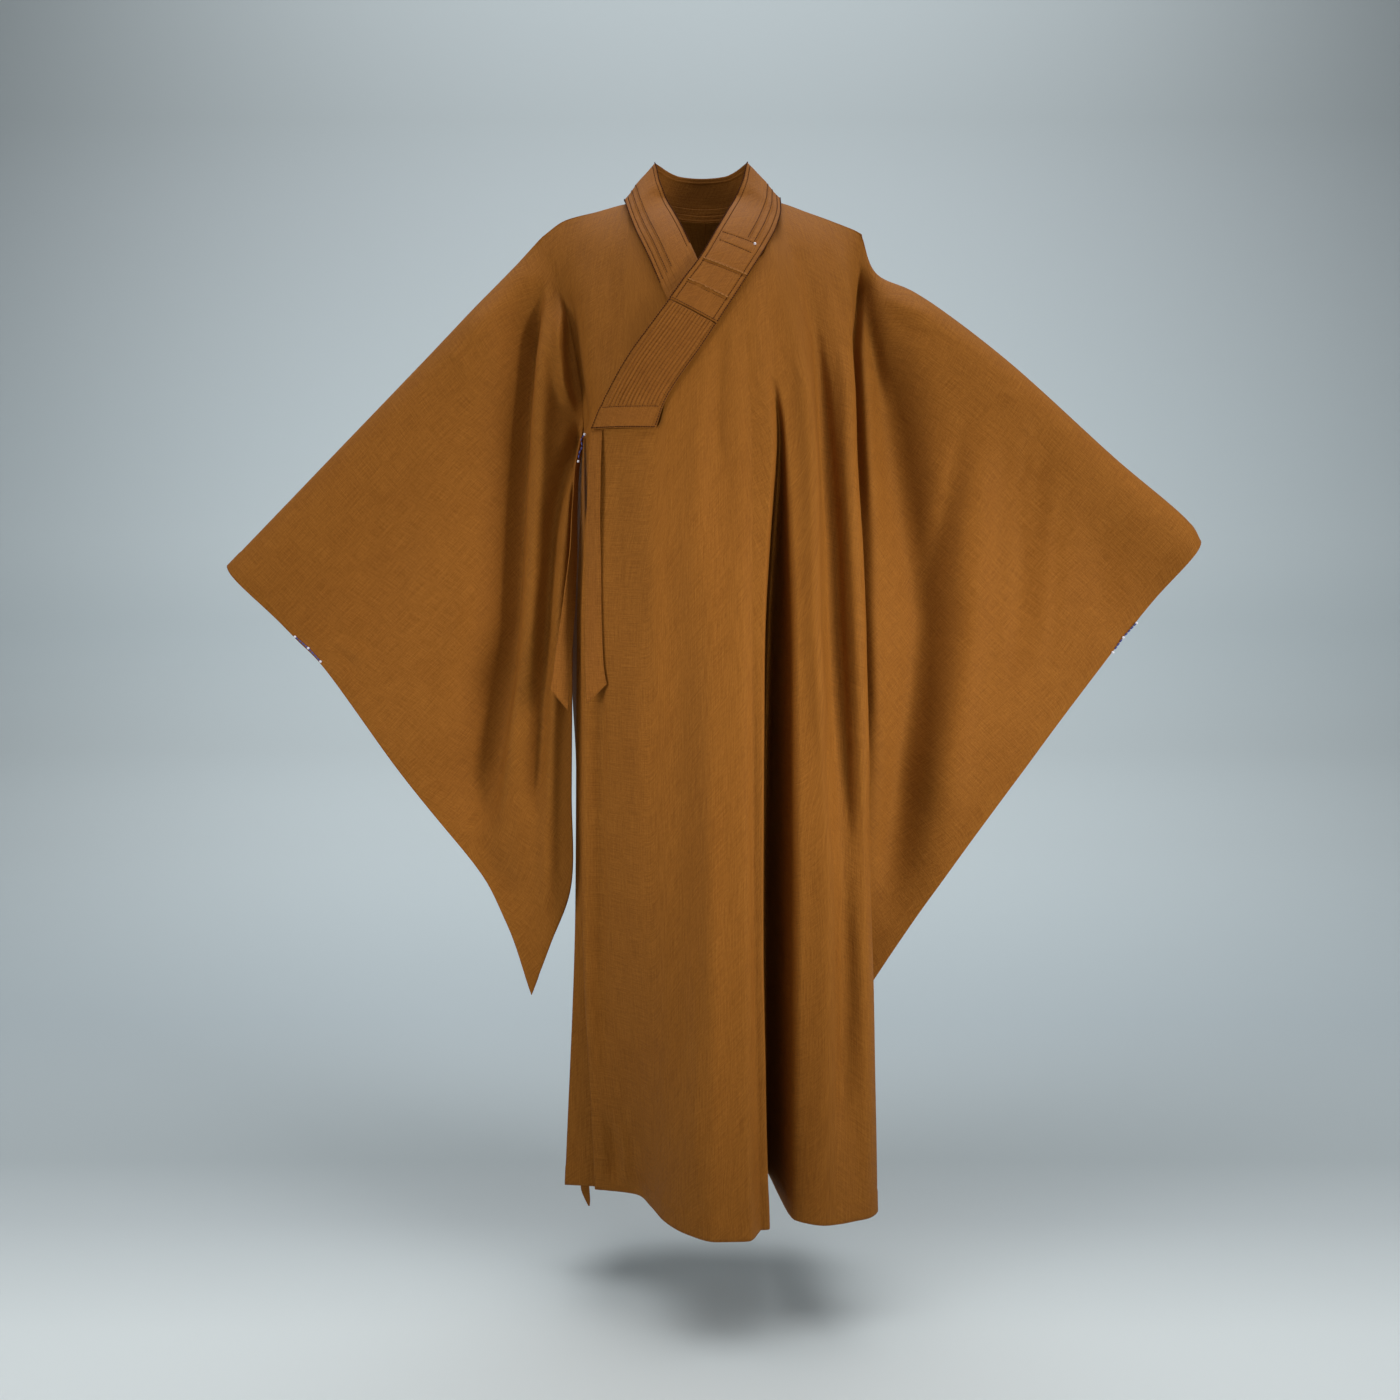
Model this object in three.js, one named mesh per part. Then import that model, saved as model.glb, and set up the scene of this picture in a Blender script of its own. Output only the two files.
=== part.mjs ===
// A long crossed-front monk's robe as it hangs when worn: two fronts with an overlap gore, two
// backs, wide bag sleeves, a crossed neckband with a quilted end, and two cloth ties. Units are
// millimetres, +Z is up, +X is the wearer's left and the front faces -Y. The origin lies on the
// shoulder line in the middle of the neck.
import * as THREE from "three";

// Cloth and seams
const CLOTH = 2;
const BAND = 2.2;
const SEAM_GAP = 0.4;
const SHARPEST = 0.5;

// Levels of the garment, measured down from the shoulder line at the neck
const UNDERARM_Z = -290;
const WAIST_Z = -560;
const KNEE_Z = -900;
const HEM_Z = -1271;

// Shoulders: the line is level out to the neck point, then slopes down
const NECK_POINT_Z = 6.5;
const NECK_POINT_X = 91;
const SHOULDER_RUN = 123;
const SHOULDER_FALL = 50;
const SHOULDER_BEND = 1.15;
const SHOULDER_ROUNDING = 72;
const NAPE_RISE = 70;

// Chest: how far the cloth stands forward of the shoulder line
const CHEST_DEPTH = 114;
const CHEST_TAPER = 62;
const CHEST_HALF_WIDTH = 165;
const CHEST_BEND = 2.2;

// Layers over the chest, as clearances from the outer front's surface
const UNDER_LAYER = 8;
const BAND_RAISE = 3;

// Where each rail of a panel has its keys, as a share of the rail
const UNDERARM_SHARE = 0.4;
const SLEEVE_STEPS = [0, 0.02, 0.06, 0.12, 0.2, 0.31, 0.45, 0.62, 0.78, 0.9, 1];
const SKIRT_STEPS = [0.45, 0.52, 0.6, 0.7, 0.8, 0.9, 1];
const PANEL_STEPS = SLEEVE_STEPS.map((step) => step * UNDERARM_SHARE).concat(SKIRT_STEPS);
const YOKE_DEPTH_SHARE = 0.6;
const FRONT_COLUMNS = 3;
const COLUMNS = 2;

const CLOTH_COLOUR = 0x86541f;
const BAND_COLOUR = 0x7e4e20;

const DOWN = new THREE.Vector3(0, 0, -1);
const BACKWARD = new THREE.Vector3(0, 1, 0);
const FORWARD = new THREE.Vector3(0, -1, 0);

const robe = new THREE.Group();

function mix(a, b, share) {
  return a + (b - a) * share;
}

function smooth(low, high, value) {
  const share = Math.min(1, Math.max(0, (value - low) / (high - low)));
  return share * share * (3 - 2 * share);
}

function shoulderZ(x) {
  const out = Math.max(0, (Math.abs(x) - NECK_POINT_X) / SHOULDER_RUN);
  return NECK_POINT_Z - SHOULDER_FALL * out ** SHOULDER_BEND;
}

// Share of its full depth that the cloth has reached at this drop below the shoulder line
function rounding(drop) {
  return 1 - Math.exp(-Math.max(0, drop) / SHOULDER_ROUNDING);
}

function chestDepth(x) {
  return CHEST_DEPTH - CHEST_TAPER * (Math.abs(x) / CHEST_HALF_WIDTH) ** CHEST_BEND;
}

function chestY(x, z) {
  return -chestDepth(x) * rounding(shoulderZ(x) - z);
}

// A smooth line through evenly spaced numbers that never swings past them
function through(values) {
  const steps = values.slice(1).map((value, i) => value - values[i]);
  const slopes = values.map((value, i) => {
    if (i === 0) return steps[0];
    if (i === steps.length) return steps[i - 1];
    const product = steps[i - 1] * steps[i];
    return product > 0 ? (2 * product) / (steps[i - 1] + steps[i]) : 0;
  });
  return (share) => {
    const at = share * steps.length;
    const i = Math.min(Math.floor(at), steps.length - 1);
    const u = at - i;
    const swing = u * (1 - u) * ((1 - u) * (slopes[i] - steps[i]) - u * (slopes[i + 1] - steps[i]));
    return mix(values[i], values[i + 1], u) + swing;
  };
}

// Turns a grid of surface points into a closed wall. The grid is grid[row][column], core is a point
// on the inner side, and raised is the height of the outer side above the grid. inward gives, for an
// edge that meets another piece, the direction in which both walls go in. Such an edge stays back by
// half a seam gap.
function wall(name, grid, options) {
  const { core, inward = {}, raised = () => 0 } = options;
  const { thickness = CLOTH, colour = CLOTH_COLOUR } = options;
  const rows = grid.length;
  const columns = grid[0].length;
  const cells = grid.slice(1).map((row, r) =>
    row.slice(1).map((point, c) => {
      const falling = point.clone().sub(grid[r][c]);
      const rising = grid[r][c + 1].clone().sub(row[c]);
      return falling.cross(rising).normalize();
    }),
  );
  let facing = 0;
  cells.forEach((row, r) =>
    row.forEach((normal, c) => {
      facing += normal.dot(grid[r][c].clone().sub(core));
    }),
  );
  const side = Math.sign(facing);
  // At a sharp fold the wall is measured across its two sides, not along the line between them
  const normals = grid.map((row, r) =>
    row.map((point, c) => {
      const around = [cells[r - 1]?.[c - 1], cells[r - 1]?.[c], cells[r]?.[c - 1], cells[r]?.[c]];
      const faces = around.filter(Boolean);
      const sum = faces.reduce((total, normal) => total.add(normal), new THREE.Vector3());
      const squareness = sum.length() / faces.length;
      return sum.normalize().multiplyScalar(side / Math.max(SHARPEST, squareness));
    }),
  );

  const plain = grid.map((row) => row.map((point) => point.clone()));
  const pullBack = (row, column, fromRow, fromColumn) => {
    const along = grid[fromRow][fromColumn].clone().sub(grid[row][column]).normalize();
    plain[row][column].addScaledVector(along, SEAM_GAP / 2);
  };
  for (let r = 0; r < rows; r += 1) {
    if (inward.left?.(r)) pullBack(r, 0, r, 1);
    if (inward.right?.(r)) pullBack(r, columns - 1, r, columns - 2);
  }
  for (let c = 0; c < columns; c += 1) {
    if (inward.top?.(c)) pullBack(0, c, 1, c);
  }
  const outer = plain.map((row, r) =>
    row.map((point, c) => point.clone().addScaledVector(normals[r][c], raised(r, c))),
  );
  const inner = plain.map((row, r) =>
    row.map((point, c) => {
      const edge =
        (c === 0 && inward.left?.(r)) ||
        (c === columns - 1 && inward.right?.(r)) ||
        (r === 0 && inward.top?.(c));
      const way = edge || normals[r][c].clone().negate();
      return point.clone().addScaledVector(way, thickness);
    }),
  );

  const positions = [...outer.flat(), ...inner.flat()].flatMap((point) => point.toArray());
  const index = [];
  const out = (r, c) => r * columns + c;
  const within = (r, c) => rows * columns + r * columns + c;
  const quad = (a, b, c, d) => {
    if (side > 0) index.push(a, b, c, a, c, d);
    else index.push(a, c, b, a, d, c);
  };
  // An edge's strip is split from its higher outer point, so that walls which share it lie flush
  const rim = (r, c, nextR, nextC) => {
    const near = [out(r, c), within(r, c)];
    const far = [within(nextR, nextC), out(nextR, nextC)];
    if (grid[r][c].z >= grid[nextR][nextC].z) quad(...near, ...far);
    else quad(near[1], ...far, near[0]);
  };
  for (let r = 0; r < rows - 1; r += 1) {
    for (let c = 0; c < columns - 1; c += 1) {
      quad(out(r, c), out(r + 1, c), out(r + 1, c + 1), out(r, c + 1));
      quad(within(r, c), within(r, c + 1), within(r + 1, c + 1), within(r + 1, c));
    }
    rim(r, 0, r + 1, 0);
    rim(r + 1, columns - 1, r, columns - 1);
  }
  for (let c = 0; c < columns - 1; c += 1) {
    rim(0, c + 1, 0, c);
    rim(rows - 1, c, rows - 1, c + 1);
  }
  const geometry = new THREE.BufferGeometry();
  geometry.setAttribute("position", new THREE.Float32BufferAttribute(positions, 3));
  geometry.setIndex(index);
  geometry.computeVertexNormals();
  const material = new THREE.MeshStandardMaterial({ color: colour, roughness: 0.8, metalness: 0 });
  const mesh = new THREE.Mesh(geometry, material);
  mesh.name = name;
  robe.add(mesh);
}

// A rail is one fold, ridge or edge of a panel from its top to the hem. Its row gives the top in x
// and z, or no z where it starts on the shoulder line, then x and the full depth at the underarm,
// waist, knee and hem. "yoke" is the key half way between the top and the underarm, given only
// where an armhole bends there. Depth is forward of the shoulder line in a front and behind it in
// a back.
function rail(row, faces, behind) {
  const topZ = row.topZ ?? shoulderZ(row.topX);
  const armZ = row.armZ ?? mix(topZ, WAIST_Z, 0.5);
  const topDepth = row.topDepth ?? chestDepth(row.topX) - behind;
  const yokeX = row.yokeX ?? mix(row.topX, row.armX, 0.5);
  const yokeDepth = row.yokeDepth ?? mix(topDepth, row.armDepth, YOKE_DEPTH_SHARE);
  const x = through([row.topX, yokeX, row.armX, row.waistX, row.kneeX, row.hemX]);
  const z = through([topZ, row.yokeZ ?? mix(topZ, armZ, 0.5), armZ, WAIST_Z, KNEE_Z, HEM_Z]);
  const depths = [topDepth, yokeDepth, row.armDepth, row.waistDepth, row.kneeDepth, row.hemDepth];
  const depth = through(depths);
  return (share) => {
    const px = x(share);
    const pz = share === 1 ? HEM_Z : z(share);
    const nape = faces > 0 ? NAPE_RISE * Math.max(0, 1 - (px / NECK_POINT_X) ** 2) : 0;
    const py = faces * depth(share) * rounding(shoulderZ(px) + nape - pz);
    return new THREE.Vector3(px, py, pz);
  };
}

// Lays cloth over neighbouring rails, with a few columns between each two
function drape(lines, columnsBetween) {
  const columns = (lines.length - 1) * columnsBetween;
  return PANEL_STEPS.map((share) => {
    const points = lines.map((line) => line(share));
    const [x, y, z] = ["x", "y", "z"].map((axis) => through(points.map((point) => point[axis])));
    return Array.from({ length: columns + 1 }, (_, column) => {
      const across = column / columns;
      return new THREE.Vector3(x(across), y(across), z(across));
    });
  });
}

function rails(columns, rows, faces, behind = 0) {
  return rows.map((values) => {
    const row = Object.fromEntries(columns.map((column, i) => [column, values[i]]));
    return rail(row, faces, behind);
  });
}

// Armhole and side seams, which fronts, backs and sleeves share
const SEAM_COLUMNS = [
  "topX", "topZ", "topDepth", "yokeX", "yokeZ", "yokeDepth", "armX", "armZ", "armDepth",
  "waistX", "waistDepth", "kneeX", "kneeDepth", "hemX", "hemDepth",
];
const [rightFrontSeam, leftFrontSeam] = rails(
  SEAM_COLUMNS,
  [
    [-212, null, 20, -172, -170, 20, -158, UNDERARM_Z, 0, -168, 0, -167, 0, -182, 0],
    [203, null, 12, 190, -165, 16, 165, UNDERARM_Z, 0, 163, 0, 163, 0, 172, 0],
  ],
  -1,
);
const [rightBackSeam, leftBackSeam] = rails(
  SEAM_COLUMNS,
  [
    [-212, null, 34, -172, -170, 34, -158, UNDERARM_Z, 0, -168, 0, -167, 0, -182, 0],
    [203, null, 34, 190, -165, 34, 165, UNDERARM_Z, 0, 163, 0, 163, 0, 172, 0],
  ],
  1,
);

// Direction in which the walls on both sides of an armhole or side seam go in: down at the
// shoulder, then towards the body and the middle of the armhole, and towards the body at the
// underarm. Below it the seam may lean back as it falls to the hem.
const ARMHOLE_TURN = 0.25;
const ARMHOLE_OPEN = 10;
const SEAM_REACH = 0.01;

function seamInward(line, toBody, lean) {
  return (share) => {
    const along = share / UNDERARM_SHARE;
    if (along >= 1) {
      const leaning = lean * smooth(UNDERARM_SHARE, 1, share);
      return new THREE.Vector3(toBody, leaning, 0).normalize();
    }
    if (along === 0) return DOWN;
    const turned = smooth(0, ARMHOLE_TURN, along);
    const point = line(share);
    const above = line(Math.max(0, share - SEAM_REACH));
    const tangent = line(share + SEAM_REACH).sub(above).normalize();
    const toMiddle = Math.max(-1, Math.min(1, -point.y / ARMHOLE_OPEN));
    const way = new THREE.Vector3(toBody * turned, toMiddle, turned - 1);
    return way.addScaledVector(tangent, -turned * way.dot(tangent)).normalize();
  };
}

const RIGHT_LEAN = 1;
const rightFrontInward = seamInward(rightFrontSeam, 1, RIGHT_LEAN);
const rightBackInward = seamInward(rightBackSeam, 1, RIGHT_LEAN);
const leftFrontInward = seamInward(leftFrontSeam, -1, 0);
const leftBackInward = seamInward(leftBackSeam, -1, 0);

function downPanel(inward) {
  return (row) => inward(PANEL_STEPS[row]);
}

// The shoulder seam, where the columns from one rail to another go straight down
function shoulderSeam(firstRail, lastRail, columnsBetween) {
  const first = firstRail * columnsBetween;
  const last = lastRail * columnsBetween;
  return (column) => (column >= first && column <= last ? DOWN : null);
}

const RAIL_COLUMNS = [
  "topX", "topZ", "armX", "armDepth", "waistX", "waistDepth",
  "kneeX", "kneeDepth", "hemX", "hemDepth",
];

// Centre front seam, where the overlap gore joins the wearer's left front
const CENTRE_SEAM = [48, -144, 59, 108, 65, 118, 76, 116, 76, 111];

// Wearer's left front: the deep pleat, the rounded fold beside it, a shallow trough, and the
// outer fold that hangs straight from the shoulder's end and turns back to the side seam
const frontLeftRails = rails(
  RAIL_COLUMNS,
  [
    CENTRE_SEAM,
    [57, -112, 89, 80, 84, 32, 88, -4, 86, -20],
    [68, -96, 102, 102, 100, 104, 107, 101, 101, 86],
    [79, -70, 124, 102, 130, 103, 146, 104, 142, 101],
    [93, null, 141, 86, 150, 86, 161, 97, 163, 98],
    [125, null, 158, 62, 170, 68, 177, 86, 184, 90],
    [155, null, 174, 66, 189, 76, 197, 83, 202, 82],
    [182, null, 189, 55, 203, 60, 210, 64, 215, 66],
    [195, null, 183, 30, 192, 32, 197, 32, 203, 32],
  ],
  -1,
).concat(leftFrontSeam);

// Overlap gore, from its free edge at the wearer's right to the centre seam
const overlapRails = rails(
  RAIL_COLUMNS,
  [
    [-137, -305, -150, 56, -154, 48, -155, 30, -142, 12],
    [-103, -309, -111, 76, -113, 70, -114, 52, -86, 26],
    [-60, -311, -70, 98, -73, 94, -71, 84, -67, 56],
    [-44, -270, -45, 105, -47, 104, -45, 104, -50, 90],
    [-11, -220, -12, 112, -13, 114, -12, 118, -21, 121],
    [12, -187, 16, 109, 18, 115, 18, 127, 14, 138],
    [29, -160, 40, 112, 44, 120, 50, 129, 52, 136],
    CENTRE_SEAM,
  ],
  -1,
);

// Wearer's right front: bare at the chest, then under the overlap to its own free edge
const frontRightRails = [rightFrontSeam].concat(
  rails(
    RAIL_COLUMNS,
    [
      [-182, null, -148, 40, -152, 24, -156, 11, -152, 3],
      [-142, null, -128, 68, -132, 44, -134, 26, -124, 8],
      [-101, null, -106, 81, -106, 62, -106, 45, -88, 15],
      [-88, -42, -84, 88, -80, 80, -79, 68, -70, 40],
      [-69, -91, -60, 91, -56, 90, -54, 86, -54, 70],
      [-43, -156, -36, 94, -32, 98, -30, 100, -32, 100],
      [-15, -222, -4, 95, 0, 101, 2, 110, 0, 118],
      [0, -254, 34, 95, 38, 106, 42, 116, 44, 121],
    ],
    -1,
    UNDER_LAYER,
  ),
);

// The backs, from the side seam to the centre back seam. The wearer's right one hangs closer in.
const backLeftRails = [leftBackSeam].concat(
  rails(
    RAIL_COLUMNS,
    [
      [172, null, 176, 60, 188, 52, 191, 58, 199, 62],
      [134, null, 146, 92, 152, 96, 156, 106, 162, 112],
      [92, null, 98, 98, 104, 100, 106, 108, 110, 116],
      [60, 8, 56, 108, 60, 114, 62, 124, 66, 134],
      [30, 9, 28, 102, 30, 106, 31, 114, 34, 122],
      [0, 9, 0, 110, 0, 116, 0, 128, 0, 140],
    ],
    1,
  ),
);
const backRightRails = rails(
  RAIL_COLUMNS,
  [
    [0, 9, 0, 110, 0, 116, 0, 128, 0, 140],
    [-30, 9, -30, 104, -32, 108, -34, 116, -36, 126],
    [-62, 8, -60, 106, -62, 112, -64, 122, -70, 132],
    [-98, null, -100, 96, -102, 96, -104, 106, -112, 112],
    [-140, null, -136, 90, -138, 92, -142, 98, -154, 106],
    [-180, null, -172, 54, -180, 46, -164, 54, -184, 56],
  ],
  1,
).concat(rightBackSeam);

const bodyCore = new THREE.Vector3(0, 0, -600);

wall("front_left", drape(frontLeftRails, FRONT_COLUMNS), {
  core: bodyCore,
  inward: {
    left: () => BACKWARD,
    right: downPanel(leftFrontInward),
    top: shoulderSeam(4, 9, FRONT_COLUMNS),
  },
});
wall("overlap_outer", drape(overlapRails, COLUMNS), {
  core: bodyCore,
  inward: { right: () => BACKWARD },
});
wall("front_right", drape(frontRightRails, COLUMNS), {
  core: bodyCore,
  inward: {
    left: downPanel(rightFrontInward),
    top: shoulderSeam(0, 3, COLUMNS),
  },
});
wall("back_left", drape(backLeftRails, COLUMNS), {
  core: bodyCore,
  inward: {
    left: downPanel(leftBackInward),
    right: () => FORWARD,
    top: shoulderSeam(0, 3, COLUMNS),
  },
});
wall("back_right", drape(backRightRails, COLUMNS), {
  core: bodyCore,
  inward: {
    left: () => FORWARD,
    right: downPanel(rightBackInward),
    top: shoulderSeam(3, 6, COLUMNS),
  },
});

// Sleeves: each is one cloth folded over the arm. In the frontal plane its outline is the fold over
// the arm, the cuff's edge and the seam below, which drops beside the body from the underarm.
const ARM_RADIUS = 40;
const WRIST_RADIUS = 27;
const ARM_FALL = 120;
const WRIST_FALL = 52;
const SLEEVE_FLAT = 3.6;
const SLEEVE_BAG = 6;
const CUFF_SLACK = 0.4;
const FOLD_HOLD = 0.06;
const FOOT_HOLD = 0.75;
const ARMHOLE_BLEND = 0.24;
const ARMHOLE_LEAST = 0.05;
const UNDERARM_TURN = 0.7;
const SLEEVE_APART = 3.4;
const SLEEVE_ROWS = 18;

function outline(points) {
  const curve = new THREE.CatmullRomCurve3(points.map(([x, z]) => new THREE.Vector3(x, 0, z)));
  curve.curveType = "centripetal";
  return curve;
}

const SLEEVES = [
  {
    name: "sleeve_right",
    front: rightFrontSeam,
    back: rightBackSeam,
    frontInward: rightFrontInward,
    backInward: rightBackInward,
    underarmInward: new THREE.Vector3(-0.5, 0, 1),
    core: new THREE.Vector3(-330, 0, -480),
    top: outline([[-212, -42.6], [-300, -135], [-511, -355], [-617.5, -465.5]]),
    foot: outline([
      [-158, -290], [-169, -345], [-172, -600], [-173, -760], [-174, -886], [-200, -958],
      [-225, -1024],
    ]),
    cuff: outline([
      [-617.5, -465.5], [-532, -560], [-499, -593], [-407, -719], [-266, -913], [-225, -1024],
    ]),
    folds: [
      { from: [-209, -110], mid: [-231, -434], to: [-229, -790], width: 42, forward: 14 },
      { from: [-262, -300], mid: [-272, -560], to: [-316, -760], width: 40, forward: -14 },
    ],
  },
  {
    name: "sleeve_left",
    front: leftFrontSeam,
    back: leftBackSeam,
    frontInward: leftFrontInward,
    backInward: leftBackInward,
    underarmInward: new THREE.Vector3(0.5, 0, 1),
    core: new THREE.Vector3(330, 0, -480),
    top: outline([
      [203, -38.4], [222, -86], [270, -112], [382, -194], [530, -327], [628, -412], [640, -433],
    ]),
    foot: outline([
      [165, -290], [171, -350], [173, -600], [174, -760], [175, -892], [188, -965], [201, -1031],
    ]),
    cuff: outline([
      [640, -433], [560, -538], [519, -590], [355, -810], [261, -941], [201, -1031],
    ]),
    folds: [
      { from: [214, -170], mid: [222, -250], to: [256, -410], width: 26, forward: 16 },
      { from: [241, -270], mid: [286, -540], to: [256, -840], width: 32, forward: -14 },
      { from: [338, -275], mid: [315, -370], to: [294, -500], width: 28, forward: -8 },
      { from: [372, -270], mid: [338, -540], to: [290, -790], width: 34, forward: 12 },
    ],
  },
];

// How far a soft fold along a bent line pushes the cloth forward at a place in the frontal plane
function foldForward(fold, x, z) {
  const lines = [[fold.from, fold.mid], [fold.mid, fold.to]];
  const distances = lines.map(([start, end]) => {
    const run = [end[0] - start[0], end[1] - start[1]];
    const ahead = (x - start[0]) * run[0] + (z - start[1]) * run[1];
    const share = Math.min(1, Math.max(0, ahead / (run[0] ** 2 + run[1] ** 2)));
    return Math.hypot(x - start[0] - run[0] * share, z - start[1] - run[1] * share);
  });
  return fold.forward * Math.exp(-((Math.min(...distances) / fold.width) ** 2));
}

// Half the sleeve's depth at a distance below the fold over the arm: a round arm, then a thin bag
function sleeveHalf(below, along, down) {
  const radius = mix(ARM_RADIUS, WRIST_RADIUS, along);
  const past = Math.max(0, below - radius) / mix(ARM_FALL, WRIST_FALL, along);
  const round = Math.sqrt(1 - Math.max(0, 1 - below / radius) ** 2);
  const bag = SLEEVE_FLAT + SLEEVE_BAG * Math.sin(Math.PI * down) * mix(1, CUFF_SLACK, along);
  return radius * round * Math.exp(-(past ** 2)) + bag * smooth(0, radius, below);
}

// Least half depth: none over the arm, a seam at the armhole and along the foot, and else a wall
function leastHalf(along, down) {
  if (down === 0) return 0;
  if (along === 0) return ARMHOLE_LEAST;
  return down === 1 ? CLOTH + SEAM_GAP : SLEEVE_APART;
}

// A place on the sleeve, along it from armhole to cuff and down it from the fold to the seam below.
// Its depth goes over from that of the armhole to that of the sleeve, and the two sides stay a wall
// apart, so that they never meet inside.
function sleevePoint(sleeve, along, down, faces) {
  const top = sleeve.top.getPointAt(along);
  const foot = sleeve.foot.getPointAt(along);
  const cuff = sleeve.cuff.getPointAt(down);
  const front = sleeve.front(down * UNDERARM_SHARE);
  const back = sleeve.back(down * UNDERARM_SHARE);
  const shoulder = sleeve.top.getPointAt(0);
  const wrist = sleeve.top.getPointAt(1);
  const underarm = sleeve.foot.getPointAt(0);
  const tip = sleeve.foot.getPointAt(1);
  const place = (axis) => {
    const edges = mix(top[axis], foot[axis], down) + mix(front[axis], cuff[axis], along);
    const upper = mix(shoulder[axis], wrist[axis], along);
    const lower = mix(underarm[axis], tip[axis], along);
    return edges - mix(upper, lower, down);
  };
  const x = place("x");
  const z = place("z");
  const blend = smooth(0, ARMHOLE_BLEND, along);
  const forward = sleeve.folds.reduce((sum, fold) => sum + foldForward(fold, x, z), 0);
  const held = smooth(0, FOLD_HOLD, down) * smooth(1, FOOT_HOLD, down);
  const centre = mix((front.y + back.y) / 2, -forward * held, blend);
  const half = mix((back.y - front.y) / 2, sleeveHalf(down * top.distanceTo(foot), along, down), blend);
  const least = leastHalf(along, down);
  return new THREE.Vector3(x, centre + faces * (down === 1 ? least : Math.max(half, least)), z);
}

for (const sleeve of SLEEVES) {
  const frontSteps = SLEEVE_STEPS.slice().reverse().map((down) => [down, -1]);
  const backSteps = SLEEVE_STEPS.slice(1).map((down) => [down, 1]);
  const around = frontSteps.concat(backSteps);
  const grid = Array.from({ length: SLEEVE_ROWS + 1 }, (_, row) =>
    around.map(([down, faces]) => sleevePoint(sleeve, row / SLEEVE_ROWS, down, faces)),
  );
  wall(sleeve.name, grid, {
    core: sleeve.core,
    inward: {
      top: (column) => {
        const [down, faces] = around[column];
        const inward = faces < 0 ? sleeve.frontInward : sleeve.backInward;
        const shared = inward(down * UNDERARM_SHARE).clone();
        return shared.lerp(sleeve.underarmInward, smooth(UNDERARM_TURN, 1, down)).normalize();
      },
    },
  });
}

// Neckband: a row for each station along it, from the hidden end, up the wearer's right side,
// round the neck and down across the chest. Each has its inner and outer edge, how far it lies on
// the chest instead of standing round the neck, and its clearance in front of the outer front.
const BAND_COLUMNS = ["inX", "inY", "inZ", "outX", "outY", "outZ", "lies", "lift"];
const BAND_ROWS = [
  [40, 0, -205, -6, 0, -246, 1, -4.6],
  [14, 0, -152, -29, 0, -193, 1, -4.6],
  [-8, 0, -104, -45, 0, -157, 1, -4.4],
  [-34, -49, -38, -71, -76, -92, 1, -2.4],
  [-48, -24, -2, -86, -58, -56, 0.6, 0],
  [-60, -3, 35, -98, -36, -20, 0, 0],
  [-65, 12, 56, -105, 0, 8, 0, 0],
  [-56, 32, 61, -80, 34, 5, 0, 0],
  [-34, 50, 63, -48, 62, 6, 0, 0],
  [-4, 58, 64, 0, 75, 6, 0, 0],
  [26, 50, 63, 48, 62, 6, 0, 0],
  [47, 32, 61, 76, 37, 6, 0, 0],
  [56, 10, 57, 97, 0, 10, 0, 0],
  [50, -5, 35, 96, -37, -20, 0, 0],
  [36, -28, -4, 89, -61, -50, 0.6, BAND_RAISE],
  [18, -65, -50, 73, -79, -86, 1, BAND_RAISE],
  [-8, 0, -104, 46, 0, -134, 1, BAND_RAISE],
  [-26, 0, -130, 30, 0, -161, 1, BAND_RAISE],
  [-38, 0, -147, 14, 0, -188, 1, BAND_RAISE],
];
const QUILT_ROWS = [
  [-38.6, 0, -147.8, 13.4, 0, -188.8, 1, BAND_RAISE],
  [-66, 0, -186, -9, 0, -222, 1, BAND_RAISE],
  [-95, 0, -224, -29, 0, -250, 1, BAND_RAISE],
  [-125, 0, -274, -48, 0, -281, 1, BAND_RAISE],
  [-140, 0, -306, -59, 0, -313, 1, BAND_RAISE],
];
const BAND_ROWS_BETWEEN = 3;
const BAND_SHARES = [0, 0.11, 0.12, 0.36, 0.6, 0.64, 0.65, 0.78, 0.79, 0.9, 1];
const STRIP_STEPS = [0.645, 0.785];
const STRIP_STEP = 0.9;
const PRESSED_TO = 0.08;

const QUILT_CHANNELS = 10;
const QUILT_FROM = 0.1;
const QUILT_TO = 0.94;
const QUILT_HEIGHT = 1;
const QUILT_END = 0.75;
const quiltLines = Array.from({ length: QUILT_CHANNELS * 2 + 1 }, (_, i) =>
  mix(QUILT_FROM, QUILT_TO, i / (QUILT_CHANNELS * 2)),
);
const QUILT_SHARES = [0, ...quiltLines, 1];

function bandGrid(stations, shares) {
  const lines = BAND_COLUMNS.map((column, i) => through(stations.map((row) => row[i])));
  const rows = (stations.length - 1) * BAND_ROWS_BETWEEN;
  return Array.from({ length: rows + 1 }, (_, row) => {
    const at = Object.fromEntries(BAND_COLUMNS.map((column, i) => [column, lines[i](row / rows)]));
    return shares.map((share) => {
      const x = mix(at.inX, at.outX, share);
      const z = mix(at.inZ, at.outZ, share);
      const y = mix(mix(at.inY, at.outY, share), chestY(x, z) - at.lift, at.lies);
      return new THREE.Vector3(x, y, z);
    });
  });
}

// The strips are stacked: each step towards the neck stands one fold of cloth higher, except where
// the hidden end is pressed flat under the overlap
function stripHeight(along, share) {
  const pressed = smooth(PRESSED_TO, PRESSED_TO * 2, along);
  return pressed * STRIP_STEP * STRIP_STEPS.filter((step) => share < step).length;
}

// Rounded channels between the lengthwise lines of stitching, with a flat flap at the end
function quiltHeight(along, share) {
  const channel = ((share - QUILT_FROM) / (QUILT_TO - QUILT_FROM)) * QUILT_CHANNELS;
  if (channel < 0 || channel > QUILT_CHANNELS || along > QUILT_END) return 0;
  return QUILT_HEIGHT * Math.abs(Math.sin(Math.PI * channel));
}

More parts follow.
